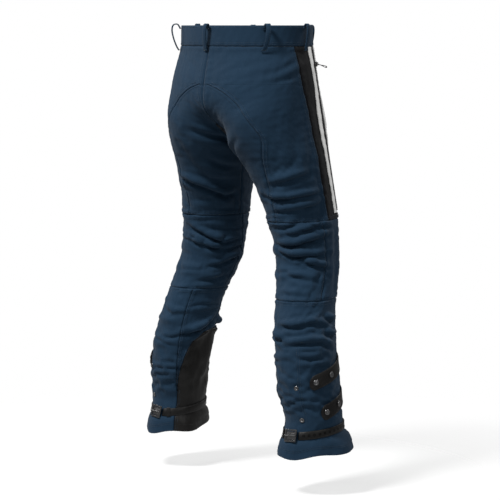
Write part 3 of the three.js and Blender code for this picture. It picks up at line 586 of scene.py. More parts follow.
def run_cloth(grid, count, plain, outward, start, free):
    verts, rest, body, hold = (np.zeros((count, n)) for n in (3, 3, 3, 1))
    slack = np.interp(-GRID_Z[1:], -SLACK[:, 0], SLACK[:, 1])
    extra = np.concatenate([[0], np.cumsum(np.diff(-GRID_Z) * slack)])
    z_rows = np.repeat(GRID_Z[:, None], COLS + 1, 1)
    behind = 0.55 + 0.45 * np.sin(np.clip(GRID_THETA, -np.pi, np.pi))
    for side, sign in SIDES.items():
        flip = np.array([sign, 1, 1])
        ids = grid[side]
        verts[ids] = start[side] * flip
        looser = plain + outward * (1.3 * free * smooth((-z_rows - 340) / 80))[..., None]
        looser[..., 2] -= extra[:, None] * behind[None, :]
        rest[ids] = looser * flip
        body[ids] = (plain - outward * BODY_ROOM) * flip
        hold[ids] = (1 - free)[..., None]
    faces = grid_faces(grid)
    cloth_obj = plain_object("sim_cloth", verts * MM, faces)
    body_obj = plain_object("sim_body", body * MM, faces)
    body_obj.modifiers.new("hit", "COLLISION")
    body_obj.collision.thickness_outer = 0.002
    body_obj.collision.cloth_friction = 30
    cloth_obj.shape_key_add(name="Basis")
    key = cloth_obj.shape_key_add(name="longer")
    key.data.foreach_set("co", (rest * MM).ravel())
    pins = cloth_obj.vertex_groups.new(name="pins")
    for i, w in enumerate(hold[:, 0].tolist()):
        if w > 0.02:
            pins.add([i], min(1.0, w), "REPLACE")
    modifier = cloth_obj.modifiers.new("cloth", "CLOTH")
    s = modifier.settings
    s.quality = 6
    s.mass = 0.25
    s.tension_stiffness = s.compression_stiffness = 30
    s.shear_stiffness = 8
    s.bending_stiffness = 4
    s.tension_damping = s.compression_damping = s.shear_damping = 8
    s.air_damping = 2
    s.vertex_group_mass = "pins"
    s.rest_shape_key = key
    c = modifier.collision_settings
    c.collision_quality = 3
    c.distance_min = 0.002
    c.use_self_collision = False
    modifier.point_cache.frame_start = 1
    modifier.point_cache.frame_end = SIM_FRAMES
    scene = bpy.context.scene
    for f in range(1, SIM_FRAMES + 1):
        scene.frame_set(f)
    graph = bpy.context.evaluated_depsgraph_get()
    mesh = cloth_obj.evaluated_get(graph).to_mesh()
    moved = np.empty(count * 3, np.float32)
    mesh.vertices.foreach_get("co", moved)
    moved = moved.reshape(-1, 3).astype(float) / MM
    scene.frame_set(1)
    for obj in (cloth_obj, body_obj):
        data = obj.data
        bpy.data.objects.remove(obj)
        bpy.data.meshes.remove(data)
    return {side: moved[grid[side]] * np.array([sign, 1, 1]) for side, sign in SIDES.items()}


# ---- Seams shape the cloth around them ----
SHELL = 1.5  # thickness of a shown cloth panel
SEAM_DIP = 1.2
RNG = np.random.default_rng(5)
CRUMPLE = [(RNG.normal(size=2), RNG.uniform(0, 6.28), RNG.uniform(11, 34)) for _ in range(16)]


def crumple(side, theta, z):
    """Small creases everywhere, under half a millimetre high."""
    u, v = theta * FOLD_SCALE + (300 if side == "left" else 0), z
    height = np.zeros(np.broadcast(u, v).shape)
    for (dx, dy), phase, length in CRUMPLE:
        size = math.hypot(dx, dy)
        height += np.sin(2 * np.pi * (u * dx + v * dy) / size / length + phase) * 0.1
    return height


def seam_profile(distance):
    """Height of the cloth at a distance from a seam: a groove, then the doubled allowance."""
    groove = -SEAM_DIP * np.exp(-((distance / 1.5) ** 2))
    return groove + 0.75 * smooth(distance / 2.5) * (1 - smooth((distance - 9) / 4))


def pucker(distance, along):
    wave = np.sin(along * 2 * np.pi / 9.5 + 1.7 * np.sin(along / 31)) * np.sin(along * 2 * np.pi / 27)
    return 0.55 * wave * np.exp(-(((distance - 7) / 7) ** 2))


def graded(length, step, fine=True):
    """Fractions of a length in millimetres, closer together at the two ends."""
    ends = np.array([0, 1.0, 2.2, 3.8, 6.0, 8.5, 11.5]) if fine and length > 34 else np.array([0.0])
    middle = np.linspace(ends[-1], length - ends[-1], max(2, int((length - 2 * ends[-1]) / step) + 1))
    return np.unique(np.round(np.concatenate([ends, middle, length - ends]), 4)) / length


def solid(name, outer, inner, side="left", wrap=False, uv=None):
    """A closed solid between two lattices of points, in millimetres, rows down and columns round."""
    n, m = outer.shape[:2]
    ids = np.arange(n * m).reshape(n, m)
    cols = np.concatenate([ids, ids[:, :1]], 1) if wrap else ids
    far = n * m

    def strip(a, b, c, d):
        return np.stack([a, b, c, d], -1).reshape(-1, 4)

    quads = [
        strip(cols[:-1, :-1], cols[1:, :-1], cols[1:, 1:], cols[:-1, 1:]),
        strip(cols[:-1, :-1], cols[:-1, 1:], cols[1:, 1:], cols[1:, :-1]) + far,
        strip(cols[0, :-1], cols[0, 1:], cols[0, 1:] + far, cols[0, :-1] + far),
        strip(cols[-1, :-1], cols[-1, :-1] + far, cols[-1, 1:] + far, cols[-1, 1:]),
    ]
    if not wrap:
        quads.append(strip(ids[:-1, 0], ids[:-1, 0] + far, ids[1:, 0] + far, ids[1:, 0]))
        quads.append(strip(ids[:-1, -1], ids[1:, -1], ids[1:, -1] + far, ids[:-1, -1] + far))
    faces = np.concatenate(quads)
    if side == "right":
        faces = faces[:, ::-1]
    verts = np.concatenate([outer.reshape(-1, 3), inner.reshape(-1, 3)]) * MM
    obj = plain_object(name, verts, faces.tolist())
    for polygon in obj.data.polygons:
        polygon.use_smooth = True
    if uv is not None:
        flat = np.concatenate([uv.reshape(-1, 2)] * 2)
        layer = obj.data.uv_layers.new(name="cloth")
        loops = np.empty(len(obj.data.loops), int)
        obj.data.loops.foreach_get("vertex_index", loops)
        layer.data.foreach_set("uv", flat[loops].ravel().astype(np.float32))
    return obj


def arc_uv(theta, z):
    return np.stack([theta * FOLD_SCALE, z + np.zeros_like(theta)], -1) * MM


def place(obj, material, body, slot, *nodes):
    obj.data.materials.append(material)
    if isinstance(body, str):
        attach(obj, body)
    if nodes:
        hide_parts(*nodes)
    return obj


def panel(name, side, top, low, start, end, seams="tblr", out=0.0, thick=SHELL, step=4.0):
    """A sewn panel of the draped cloth. top and low may be numbers or functions of the angle."""
    highest = np.max(top(0.0) if callable(top) else top)
    lowest = np.min(low(0.0) if callable(low) else low)
    sample_z = np.linspace(highest, lowest, 9)
    widths = np.abs(end(sample_z) - start(sample_z)) * FOLD_SCALE
    across = graded(max(widths.max(), 8), step)
    down = graded(abs(sample_z[0] - sample_z[-1]), step)
    z = np.repeat((sample_z[0] + (sample_z[-1] - sample_z[0]) * down)[:, None], len(across), 1)
    theta = start(z) + (end(z) - start(z)) * across[None, :]
    if callable(top) or callable(low):
        high = top(theta) if callable(top) else top
        deep = low(theta) if callable(low) else low
        z = high + (deep - high) * down[:, None]
    width = np.abs(end(z) - start(z)) * FOLD_SCALE
    away = {
        "l": across[None, :] * width,
        "r": (1 - across[None, :]) * width,
        "t": np.abs(z - z[:1]),
        "b": np.abs(z - z[-1:]),
    }
    height = crumple(side, theta, z) + out
    for edge in seams:
        along = z if edge in "lr" else theta * FOLD_SCALE
        height = height + seam_profile(away[edge]) + pucker(away[edge], along)
    outer = cloth(side, theta, z, height)
    inner = cloth(side, theta, z, height - thick)
    return solid(name, outer, inner, side, uv=arc_uv(theta, z))


# ---- Stitching: each stitch is a small thread of its own ----
STITCH_PITCH = 4.0
STITCH_LONG = 3.0
THREAD = 0.33  # radius
stitches = {}


def stitch_line(group, side, theta, z, offset, rise=0.55, pitch=STITCH_PITCH):
    """Adds a row of stitches along a line of (angle, height), offset sideways in millimetres."""
    heights = np.broadcast_to(z, np.shape(theta)).astype(float)
    line = np.stack([np.asarray(theta, float) * FOLD_SCALE, heights], -1)
    run = unit(np.gradient(line, axis=0))
    line = line + np.stack([-run[:, 1], run[:, 0]], -1) * offset
    solid_line = cloth(side, line[:, 0] / FOLD_SCALE, line[:, 1])
    length = np.concatenate([[0], np.cumsum(np.linalg.norm(np.diff(solid_line, axis=0), axis=1))])
    count = int(length[-1] / pitch)
    if count < 1:
        return
    start = (np.arange(count) + 0.5) * length[-1] / count - STITCH_LONG / 2
    ends = []
    for share in (0, 0.5, 1):
        at = start + share * STITCH_LONG
        t = np.interp(at, length, line[:, 0]) / FOLD_SCALE
        h = np.interp(at, length, line[:, 1])
        lift = rise + (0.12 if share == 0.5 else -0.22) + crumple(side, t, h)
        ends.append(cloth(side, t, h, lift))
    stitches.setdefault(group, []).append(np.stack(ends, 1))


def thread_object(name, runs):
    """One mesh of all the stitches of a group: five-sided threads that dip into the cloth."""
    points = np.concatenate(runs)
    count = len(points)
    along = unit(points[:, 2] - points[:, 0])
    up = unit(points[:, 1] * 2 - points[:, 0] - points[:, 2] + 1e-6)
    across = unit(np.cross(along, up))
    up = np.cross(across, along)
    rings = []
    for k, radius in enumerate((0.6, 1.0, 0.6)):
        for corner in range(5):
            angle = 2 * math.pi * corner / 5
            rim = across * math.cos(angle) + up * math.sin(angle)
            rings.append(points[:, k] + rim * THREAD * radius)
    verts = np.stack(rings, 1).reshape(-1, 3)
    one = []
    for k in range(2):
        for c in range(5):
            d = (c + 1) % 5
            one.append([k * 5 + c, (k + 1) * 5 + c, (k + 1) * 5 + d, k * 5 + d])
    faces = []
    for i in range(count):
        base = i * 15
        faces += [[base + v for v in quad] for quad in one]
        faces.append([base + v for v in (0, 1, 2, 3, 4)])
        faces.append([base + v for v in (14, 13, 12, 11, 10)])
    obj = plain_object(name, verts * MM, faces)
    for polygon in obj.data.polygons:
        polygon.use_smooth = True
    return obj


# ---- Small made shapes ----
def turned(name, profile, where, axis, steps=32):
    """A turned piece: profile is (radius, height) from the axis out and back to it."""
    axis = Vector(axis).normalized()
    turn = axis.to_track_quat("Z", "Y").to_matrix()
    verts, faces, rows = [], [], []
    for radius, height in profile:
        if radius < 1e-6:
            rows.append([len(verts)])
            verts.append(Vector(where) + turn @ Vector((0, 0, height)))
            continue
        rows.append(list(range(len(verts), len(verts) + steps)))
        for k in range(steps):
            a = 2 * math.pi * k / steps
            verts.append(Vector(where) + turn @ Vector((radius * math.cos(a), radius * math.sin(a), height)))
    for low, high in zip(rows[:-1], rows[1:]):
        for k in range(steps):
            a, b = low[k % len(low)], low[(k + 1) % len(low)]
            c, d = high[(k + 1) % len(high)], high[k % len(high)]
            faces.append(list(dict.fromkeys([a, b, c, d])))
    obj = plain_object(name, [v * MM for v in verts], faces)
    bm = bmesh.new()
    bm.from_mesh(obj.data)
    bmesh.ops.recalc_face_normals(bm, faces=bm.faces)
    bm.to_mesh(obj.data)
    bm.free()
    for polygon in obj.data.polygons:
        polygon.use_smooth = True
    return obj


SNAP_PROFILE = [(0, 1.9), (1.6, 1.85), (2.2, 1.5), (3.4, 1.45), (4.3, 1.9), (5.6, 1.75), (6.4, 1.2),
                (6.6, 0.5), (6.4, 0), (3.0, -0.2), (3.0, -1.0), (0, -1.0)]
STUD_PROFILE = [(0, 1.3), (2.0, 1.2), (2.6, 0.9), (3.2, 0.9), (3.8, 1.3), (5.2, 1.25), (5.9, 0.6),
                (6.0, -0.2), (5.6, -1.2), (0, -1.2)]


def centre(node):
    low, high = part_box(node)
    return (np.array(low) + np.array(high)) / 2 / MM


def swept(name, path, normals, half_width, half_thick, across=None):
    """A flat strap along a path, with rounded edges. Widths may change along it."""
    path, normals = np.asarray(path, float), unit(np.asarray(normals, float))
    run = unit(np.gradient(path, axis=0))
    side = unit(np.cross(run, normals)) if across is None else np.broadcast_to(across, path.shape)
    half_width = np.broadcast_to(half_width, len(path))
    half_thick = np.broadcast_to(half_thick, len(path))
    ring = []
    for sx, sy in ((1, -1), (1, 1), (-1, 1), (-1, -1)):
        inner = [(1, 0.35), (0.985, 0.75), (0.94, 1.0)]
        if sx * sy <= 0:
            inner.reverse()
        ring += [(sx * a, sy * b) for a, b in inner]
    rings = []
    for a, b in ring:
        rings.append(path + side * (a * half_width)[:, None] + normals * (b * half_thick)[:, None])
    lattice = np.stack(rings, 1)
    n, m = lattice.shape[:2]
    ids = np.arange(n * m).reshape(n, m)
    wrap = np.concatenate([ids, ids[:, :1]], 1)
    faces = np.stack([wrap[:-1, :-1], wrap[1:, :-1], wrap[1:, 1:], wrap[:-1, 1:]], -1).reshape(-1, 4).tolist()
    faces += [ids[0].tolist(), ids[-1][::-1].tolist()]
    obj = plain_object(name, lattice.reshape(-1, 3) * MM, faces)
    bm = bmesh.new()
    bm.from_mesh(obj.data)
    bmesh.ops.recalc_face_normals(bm, faces=bm.faces)
    bm.to_mesh(obj.data)
    bm.free()
    for polygon in obj.data.polygons:
        polygon.use_smooth = len(polygon.vertices) == 4
    return obj


def finer_copy(node, width=0.35):
    """A copy of a CAD piece with its edges rounded off."""
    source = frame["nodes"][node]
    mesh = source.data.copy()
    mesh.materials.clear()
    mesh.transform(source.matrix_world)
    bm = bmesh.new()
    bm.from_mesh(mesh)
    bmesh.ops.remove_doubles(bm, verts=bm.verts, dist=2e-6)
    flat = [e for e in bm.edges if len(e.link_faces) == 2 and e.calc_face_angle(0) < math.radians(1)]
    bmesh.ops.dissolve_edges(bm, edges=flat, use_verts=True)
    sharp = [e for e in bm.edges if len(e.link_faces) == 2 and e.calc_face_angle(0) > math.radians(28)]
    bmesh.ops.bevel(bm, geom=sharp, offset=width * MM, segments=2, profile=0.6, affect="EDGES",
                    clamp_overlap=True)
    bmesh.ops.triangulate(bm, faces=[f for f in bm.faces if len(f.verts) > 4])
    bm.to_mesh(mesh)
    bm.free()
    obj = bpy.data.objects.new(node + "_finish", mesh)
    bpy.context.scene.collection.objects.link(obj)
    for polygon in mesh.polygons:
        polygon.use_smooth = True
    return obj


def hexes(name, boxes):
    """Many small eight-cornered bars in one mesh: each is (centre, x half, y half, z half) vectors."""
    verts, faces = [], []
    ring = [(-1, -1), (1, -1), (1, 1), (-1, 1)]
    corner = [(i, j, -1) for i, j in ring] + [(0.7 * i, 0.8 * j, 1) for i, j in ring]
    quads = [(0, 3, 2, 1), (4, 5, 6, 7), (0, 1, 5, 4), (1, 2, 6, 5), (2, 3, 7, 6), (3, 0, 4, 7)]
    for c, x, y, z in boxes:
        base = len(verts)
        verts += [c + x * i + y * j + z * k for i, j, k in corner]
        faces += [[base + v for v in quad] for quad in quads]
    return plain_object(name, np.array(verts) * MM, faces)


# ---- Materials ----
class Nodes:
    """A short way to write a material's node tree."""

    def __init__(self, name, colour, rough, metal=0.0, specular=0.3, sheen=0.0):
        self.material = bpy.data.materials.new(name)
        self.material.use_nodes = True
        self.tree = self.material.node_tree
        self.shader = self.tree.nodes["Principled BSDF"]
        self.shader.inputs["Base Color"].default_value = (*colour, 1)
        self.shader.inputs["Roughness"].default_value = rough
        self.shader.inputs["Metallic"].default_value = metal
        self.shader.inputs["Specular IOR Level"].default_value = specular
        self.shader.inputs["Sheen Weight"].default_value = sheen
        self.shader.inputs["Sheen Roughness"].default_value = 0.5
        self.normal = None

    def add(self, kind, **values):
        node = self.tree.nodes.new(kind)
        for key, value in values.items():
            if hasattr(node, key) and key not in node.inputs:
                setattr(node, key, value)
            else:
                self.put(node.inputs[key.replace("_", " ")], value)
        return node

    def put(self, socket, value):
        if isinstance(value, bpy.types.NodeSocket):
            self.tree.links.new(value, socket)
        else:
            socket.default_value = value

    def math(self, operation, a, b=0.0):
        node = self.tree.nodes.new("ShaderNodeMath")
        node.operation = operation
        self.put(node.inputs[0], a)
        self.put(node.inputs[1], b)
        return node.outputs[0]

    def place(self):
        return self.add("ShaderNodeTexCoord").outputs["Object"]

    def noise(self, scale, detail=3.0):
        node = self.add("ShaderNodeTexNoise", Vector=self.place(), Scale=scale, Detail=detail)
        return node.outputs["Fac"]

    def cells(self, scale, where=None, **settings):
        node = self.add("ShaderNodeTexVoronoi", Vector=where or self.place(), Scale=scale, **settings)
        return node.outputs["Distance"]

    def blend(self, share, low, high):
        node = self.add("ShaderNodeMix", data_type="RGBA")
        self.put(node.inputs[0], share)
        self.put(node.inputs[6], (*low, 1))
        self.put(node.inputs[7], (*high, 1))
        return node.outputs[2]

    def colour(self, value):
        self.put(self.shader.inputs["Base Color"], value)

    def rough(self, share, low, high):
        node = self.add("ShaderNodeMapRange", Value=share)
        node.inputs["To Min"].default_value = low
        node.inputs["To Max"].default_value = high
        self.put(self.shader.inputs["Roughness"], node.outputs[0])

    def bump(self, height, strength, distance):
        node = self.add("ShaderNodeBump", Height=height)
        node.inputs["Strength"].default_value = strength
        node.inputs["Distance"].default_value = distance
        if self.normal is not None:
            self.put(node.inputs["Normal"], self.normal)
        self.normal = node.outputs["Normal"]
        self.put(self.shader.inputs["Normal"], self.normal)


def weave(nodes, pitch):
    """Height of a plain weave over the cloth's own coordinates: warp and weft pass over in turn."""
    parts = nodes.add("ShaderNodeSeparateXYZ", Vector=nodes.add("ShaderNodeTexCoord").outputs["UV"])
    turn = 2 * math.pi / pitch
    u = nodes.math("SINE", nodes.math("MULTIPLY", parts.outputs[0], turn))
    v = nodes.math("SINE", nodes.math("MULTIPLY", parts.outputs[1], turn))
    over = nodes.math("MULTIPLY", u, v)
    return nodes.math("MULTIPLY", over, 0.5)


def cloth_material(name, dark, light, pitch=0.0011, sheen=0.05, rough=0.8):
    n = Nodes(name, dark, rough, specular=0.12, sheen=sheen)
    threads = weave(n, pitch)
    slub = n.noise(260, 2)
    wear = n.noise(9, 4)
    # The colour mixes random wear and slub tones, the cloth's own, with the weave's height: painted shade in
    # the weave's dips, lighter where it stands up.
    share = n.math("ADD", n.math("MULTIPLY", wear, 0.7), n.math("MULTIPLY", threads, 0.35))
    n.colour(n.blend(n.math("ADD", share, n.math("MULTIPLY", slub, 0.3)), dark, light))
    n.rough(wear, rough - 0.06, rough + 0.1)
    n.bump(n.noise(34, 5), 0.35, 0.0022)
    n.bump(slub, 0.25, 0.0003)
    n.bump(threads, 0.4, 0.00018)
    return n.material


def leather_material(name="black_leather"):
    n = Nodes(name, (0.005, 0.0049, 0.0047), 0.42, specular=0.26)
    grain = n.cells(720.0, feature="SMOOTH_F1")
    crease = n.add("ShaderNodeTexNoise", Vector=n.place(), Scale=22.0, Detail=6.0, Distortion=1.4)
    rub = n.noise(13, 3)
    n.colour(n.blend(rub, (0.0022, 0.0021, 0.0020), (0.0095, 0.0090, 0.0086)))
    n.rough(rub, 0.34, 0.55)
    n.bump(crease.outputs["Fac"], 0.5, 0.0028)
    n.bump(grain, 0.35, 0.00035)
    return n.material


def reflective_material():
    n = Nodes("reflective_tape", (0.82, 0.82, 0.79), 0.42, specular=0.6)
    beads = n.cells(1500.0)
    soil = n.noise(30, 4)
    n.colour(n.blend(soil, (0.92, 0.92, 0.90), (0.98, 0.98, 0.97)))
    n.rough(soil, 0.34, 0.5)
    n.bump(beads, 0.3, 0.0002)
    return n.material


def metal_material(name, colour, rough):
    n = Nodes(name, colour, rough, metal=1.0, specular=0.5)
    scratch = n.noise(420, 4)
    cloud = n.noise(55, 3)
    n.colour(n.blend(cloud, tuple(c * 0.82 for c in colour), tuple(min(1, c * 1.15) for c in colour)))
    n.rough(scratch, rough - 0.08, rough + 0.14)
    n.bump(scratch, 0.12, 0.0001)
    return n.material


def thread_material(name, colour):
    n = Nodes(name, colour, 0.6, specular=0.25, sheen=0.1)
    wave = n.add("ShaderNodeTexWave", Vector=n.place(), Scale=900.0, bands_direction="DIAGONAL")
    twist = wave.outputs["Fac"]
    # The colour goes darker and lighter with the twist: painted shade between the plies and a painted
    # highlight on them.
    n.colour(n.blend(twist, tuple(c * 0.7 for c in colour), tuple(c * 1.25 for c in colour)))
    n.bump(twist, 0.3, 0.0001)
    return n.material


def mesh_lining_material():
    n = Nodes("mesh_lining", (0.02, 0.023, 0.027), 0.85, specular=0.1, sheen=0.05)
    where = n.add("ShaderNodeTexCoord").outputs["UV"]
    holes = n.cells(420.0, where, feature="DISTANCE_TO_EDGE")
    # The knit is lighter at the cell edges and the holes near black: painted shade in the holes.
    n.colour(n.blend(n.math("MULTIPLY", holes, 2.2), (0.05, 0.056, 0.064), (0.008, 0.009, 0.011)))
    n.bump(holes, 0.6, 0.0005)
    return n.material


def foam_material():
    n = Nodes("armour_foam", (0.035, 0.038, 0.042), 0.7, specular=0.25)
    cells = n.cells(110.0)
    # Darker in the hollows of the cell pattern, where the bump dips: painted shade.
    n.colour(n.blend(cells, (0.012, 0.013, 0.015), (0.05, 0.054, 0.06)))
    n.bump(cells, 0.7, 0.002)
    n.bump(n.noise(600, 2), 0.2, 0.0002)
    return n.material


NAVY_DARK, NAVY_LIGHT = (0.0070, 0.0232, 0.0465), (0.0132, 0.0365, 0.0690)
navy = cloth_material("navy_textile", NAVY_DARK, NAVY_LIGHT)
black_cloth = cloth_material("black_textile", (0.0055, 0.006, 0.007), (0.0105, 0.011, 0.0125), pitch=0.0016)
leather = leather_material()
reflective = reflective_material()
gunmetal = metal_material("black_metal", (0.17, 0.17, 0.174), 0.26)
prong_steel = metal_material("dark_steel", (0.16, 0.16, 0.16), 0.34)
steel = metal_material("plated_steel", (0.42, 0.42, 0.42), 0.3)
# Near black: the eyelets' rings, and painted shade on the discs that close their holes.
eyelet_and_hole_shade = metal_material("eyelet_metal_and_painted_hole_shade", (0.006, 0.006, 0.006), 0.55)
navy_thread = thread_material("navy_thread", (0.022, 0.046, 0.078))
grey_thread = thread_material("grey_thread", (0.30, 0.30, 0.29))
black_thread = thread_material("black_thread", (0.02, 0.02, 0.021))
lining_cloth = mesh_lining_material()
foam = foam_material()


# ---- Where the seams run ----
def band_edge(reach):
    def edge(z):
        z = np.asarray(z, float)
        speed = np.linalg.norm(surface(zip_at(z) + 0.01, z) - surface(zip_at(z) - 0.01, z), axis=-1) / 0.02
        return zip_at(z) + (reach(z) if callable(reach) else reach) / speed
    return edge


def band_rear(z, more=0.0):
    """The vent band's rear edge, which flares towards the waist."""
    flare = smooth(1 - (WAISTBAND - z) / BAND_FLARE)
    return BAND_REAR + (BAND_REAR_TOP - BAND_REAR) * flare + more


BAND_REAR, BAND_REAR_TOP, BAND_FRONT = 60.0, 72.0, -46.0
BAND_FLARE = 210.0
STRIPE_NEAR, STRIPE_WIDTH = 9.0, 21.0
SEAT_Z = np.linspace(-140, KNEE_TOP, 200)


def seat_angles():
    near, far = np.full_like(SEAT_Z, np.pi / 2 - 0.9), np.full_like(SEAT_Z, np.pi)
    reach = column(SEAT_EDGE, 1, SEAT_Z)
    for _ in range(30):
        middle = (near + far) / 2
        outside = surface(middle, SEAT_Z)[..., 0] > reach
        near, far = np.where(outside, middle, near), np.where(outside, far, middle)
    return near


SEAT_THETA = seat_angles()


def seat_seam(z):
    return np.interp(-np.asarray(z, float), -SEAT_Z, SEAT_THETA)


def back_limit(z):
    """The back panel ends at the rise seam above the horseshoe seam, and at that seam below its top."""
    z = np.asarray(z, float)
    return np.where(z > -140, np.pi, seat_seam(z))


def always(angle):
    return lambda z: np.full_like(np.asarray(z, float), angle)


GUARD_REAR, GUARD_FRONT = math.radians(120), math.radians(250)
GUARD_TOP, GUARD_CURVE = -755.0, 190.0
PLACKET = math.radians(50)  # the shin's short double-stitched seam
BEHIND, ROUND = math.pi, 2 * math.pi


def guard_top(theta):
    """The guard's top edge: level behind the leg, then a quarter of an ellipse down to its rear edge."""
    s = np.clip((BEHIND - np.asarray(theta, float)) / (BEHIND - GUARD_REAR), 0, 0.9995)
    return GUARD_TOP - GUARD_CURVE * (1 - np.sqrt(1 - s * s))


def line(a, b, count=160):
    return np.linspace(a, b, count)


def double_row(rows, side, theta, z, offsets):
    """Two rows of stitching beside a seam. The second stands a little less proud."""
    for offset, rise in zip(offsets, (1.2, 0.9)):
        stitch_line(rows, side, theta, z, offset, rise)


def make_cloth(side):
    """The sewn panels of one side, and the rows of stitching that hold them."""
    tag = "_" + side
    shin = "shin" + tag
    hips_rows, knee_rows, shin_rows = "hips" + tag, "knee" + tag, "shin" + tag
    rear, front = band_edge(band_rear), band_edge(BAND_FRONT)
    top = panel("yoke" + tag, side, WAISTBAND, -140, rear, always(BEHIND), "tlr")
    place(top, navy, HIPS, "navy", "back_panel" + tag)
    low = panel("back_cloth" + tag, side, -140, KNEE_TOP, rear, back_limit, "blr")
    place(low, navy, HIPS, "navy", "back_panel" + tag)
    seat = panel("seat_cloth" + tag, side, -140.0, KNEE_TOP, seat_seam, always(BEHIND), "blr")
    place(seat, navy, HIPS, "navy", "seat_panel" + tag)
    face = panel("front_cloth" + tag, side, WAISTBAND, KNEE_TOP, always(-BEHIND), front)
    place(face, navy, HIPS, "navy", "front_panel" + tag)
    band = panel("vent_cloth" + tag, side, WAISTBAND, KNEE_TOP, front, rear)
    place(band, black_cloth, HIPS, "black_cloth", "vent_band" + tag)
    for name, near in (("rear_stripe", STRIPE_NEAR), ("front_stripe", -STRIPE_NEAR - STRIPE_WIDTH)):
        make_stripe(name, side, near)
    z = line(-52, -464)
    double_row(hips_rows, side, rear(z), z, (3.0, 8.0))
    stitch_line(hips_rows, side, front(z), z, -3.0, 1.2)
    stitch_line(hips_rows, side, always(BEHIND)(line(-52, -262)), line(-52, -262), -3.2, 1.2)
    if side == "left":
        stitch_line(hips_rows, side, always(BEHIND)(line(-52, -262)), line(-52, -262), -8.5, 0.9)
    double_row(hips_rows, side, SEAT_THETA[2:], SEAT_Z[2:], (-3.0, -8.0))
    turn = line(-BEHIND + 0.03, BEHIND - 0.03, 220)
    stitch_line(hips_rows, side, turn, KNEE_TOP + 3.2, 0, 1.2)
    stitch_line(hips_rows, side, turn, KNEE_TOP + 8.5, 0, 0.9)
    outer_seam, inner_seam = 0.12, BEHIND + 0.1
    halves = (("knee_back", outer_seam, inner_seam), ("knee_front", inner_seam - ROUND, outer_seam))
    for name, start, end in halves:
        piece = panel(name + tag, side, KNEE_TOP, KNEE_LOW, always(start), always(end), "tblr")
        place(piece, navy, None, "navy", "knee_panel" + tag)
    for angle in (outer_seam, inner_seam):
        z = line(KNEE_TOP - 3, KNEE_LOW + 3)
        stitch_line(knee_rows, side, always(angle)(z), z, 3.0, 1.2)
    stitch_line(knee_rows, side, turn, KNEE_LOW + 3.4, 0, 1.2)
    knee_edge = lambda t: KNEE_LOW + 0 * t
    outside = panel("shin_cloth" + tag, side, knee_edge, hem_edge(side),
                    always(GUARD_FRONT - ROUND), always(GUARD_REAR), "tlr")
    place(outside, navy, shin, "navy", "shin_panel" + tag)
    calf = panel("calf_cloth" + tag, side, knee_edge, guard_top, always(GUARD_REAR), always(GUARD_FRONT))
    place(calf, navy, shin, "navy", "shin_panel" + tag)
    guard = panel("guard_leather" + tag, side, guard_top, hem_edge(side), always(GUARD_REAR),
                  always(GUARD_FRONT), "tlr", out=0.25, thick=1.9)
    place(guard, leather, shin, "leather", "calf_guard" + tag)
    stitch_line(shin_rows, side, turn, KNEE_LOW - 3.4, 0, 1.2)
    stitch_line(shin_rows, side, turn, KNEE_LOW - 8.5, 0, 0.9)
    z = line(KNEE_LOW - 4, HEM + 3)
    double_row(shin_rows, side, always(GUARD_REAR)(z), z, (3.0, 8.0))
    stitch_line(shin_rows, side, always(GUARD_FRONT - ROUND)(z), z, 3.0, 1.2)
    around = line(GUARD_REAR + 0.04, GUARD_FRONT - 0.04)
    stitch_line("guard" + tag, side, around, guard_top(around), 3.2, 1.4)
    hem_round = line(GUARD_FRONT - ROUND + 0.05, GUARD_REAR - 0.05)
    for above in (17, 21):
        stitch_line(shin_rows, side, hem_round, hem_edge(side)(hem_round) + above, 0, 0.5)
    stitch_line("guard" + tag, side, around, hem_edge(side)(around) + 17, 0, 0.7)
    placket = line(-756, -936)
    for offset in (-3.0, 3.0):
        stitch_line(shin_rows, side, always(PLACKET)(placket), placket, offset, 0.6)


def make_stripe(name, side, near):
    low = ZIP_LOW[2] - 4
    start, end = band_edge(near), band_edge(near + STRIPE_WIDTH)
    piece = panel(f"{name}_tape_{side}", side, WAISTBAND - 2, low, start, end, "", out=1.5, thick=0.6, step=4)
    place(piece, reflective, HIPS, "reflective", f"{name}_{side}")
    z = line(WAISTBAND - 5, low + 2, 140)
    for reach in (near + 1.6, near + STRIPE_WIDTH - 1.6):
        stitch_line("tape_" + side, side, band_edge(reach)(z), z, 0, 1.75)


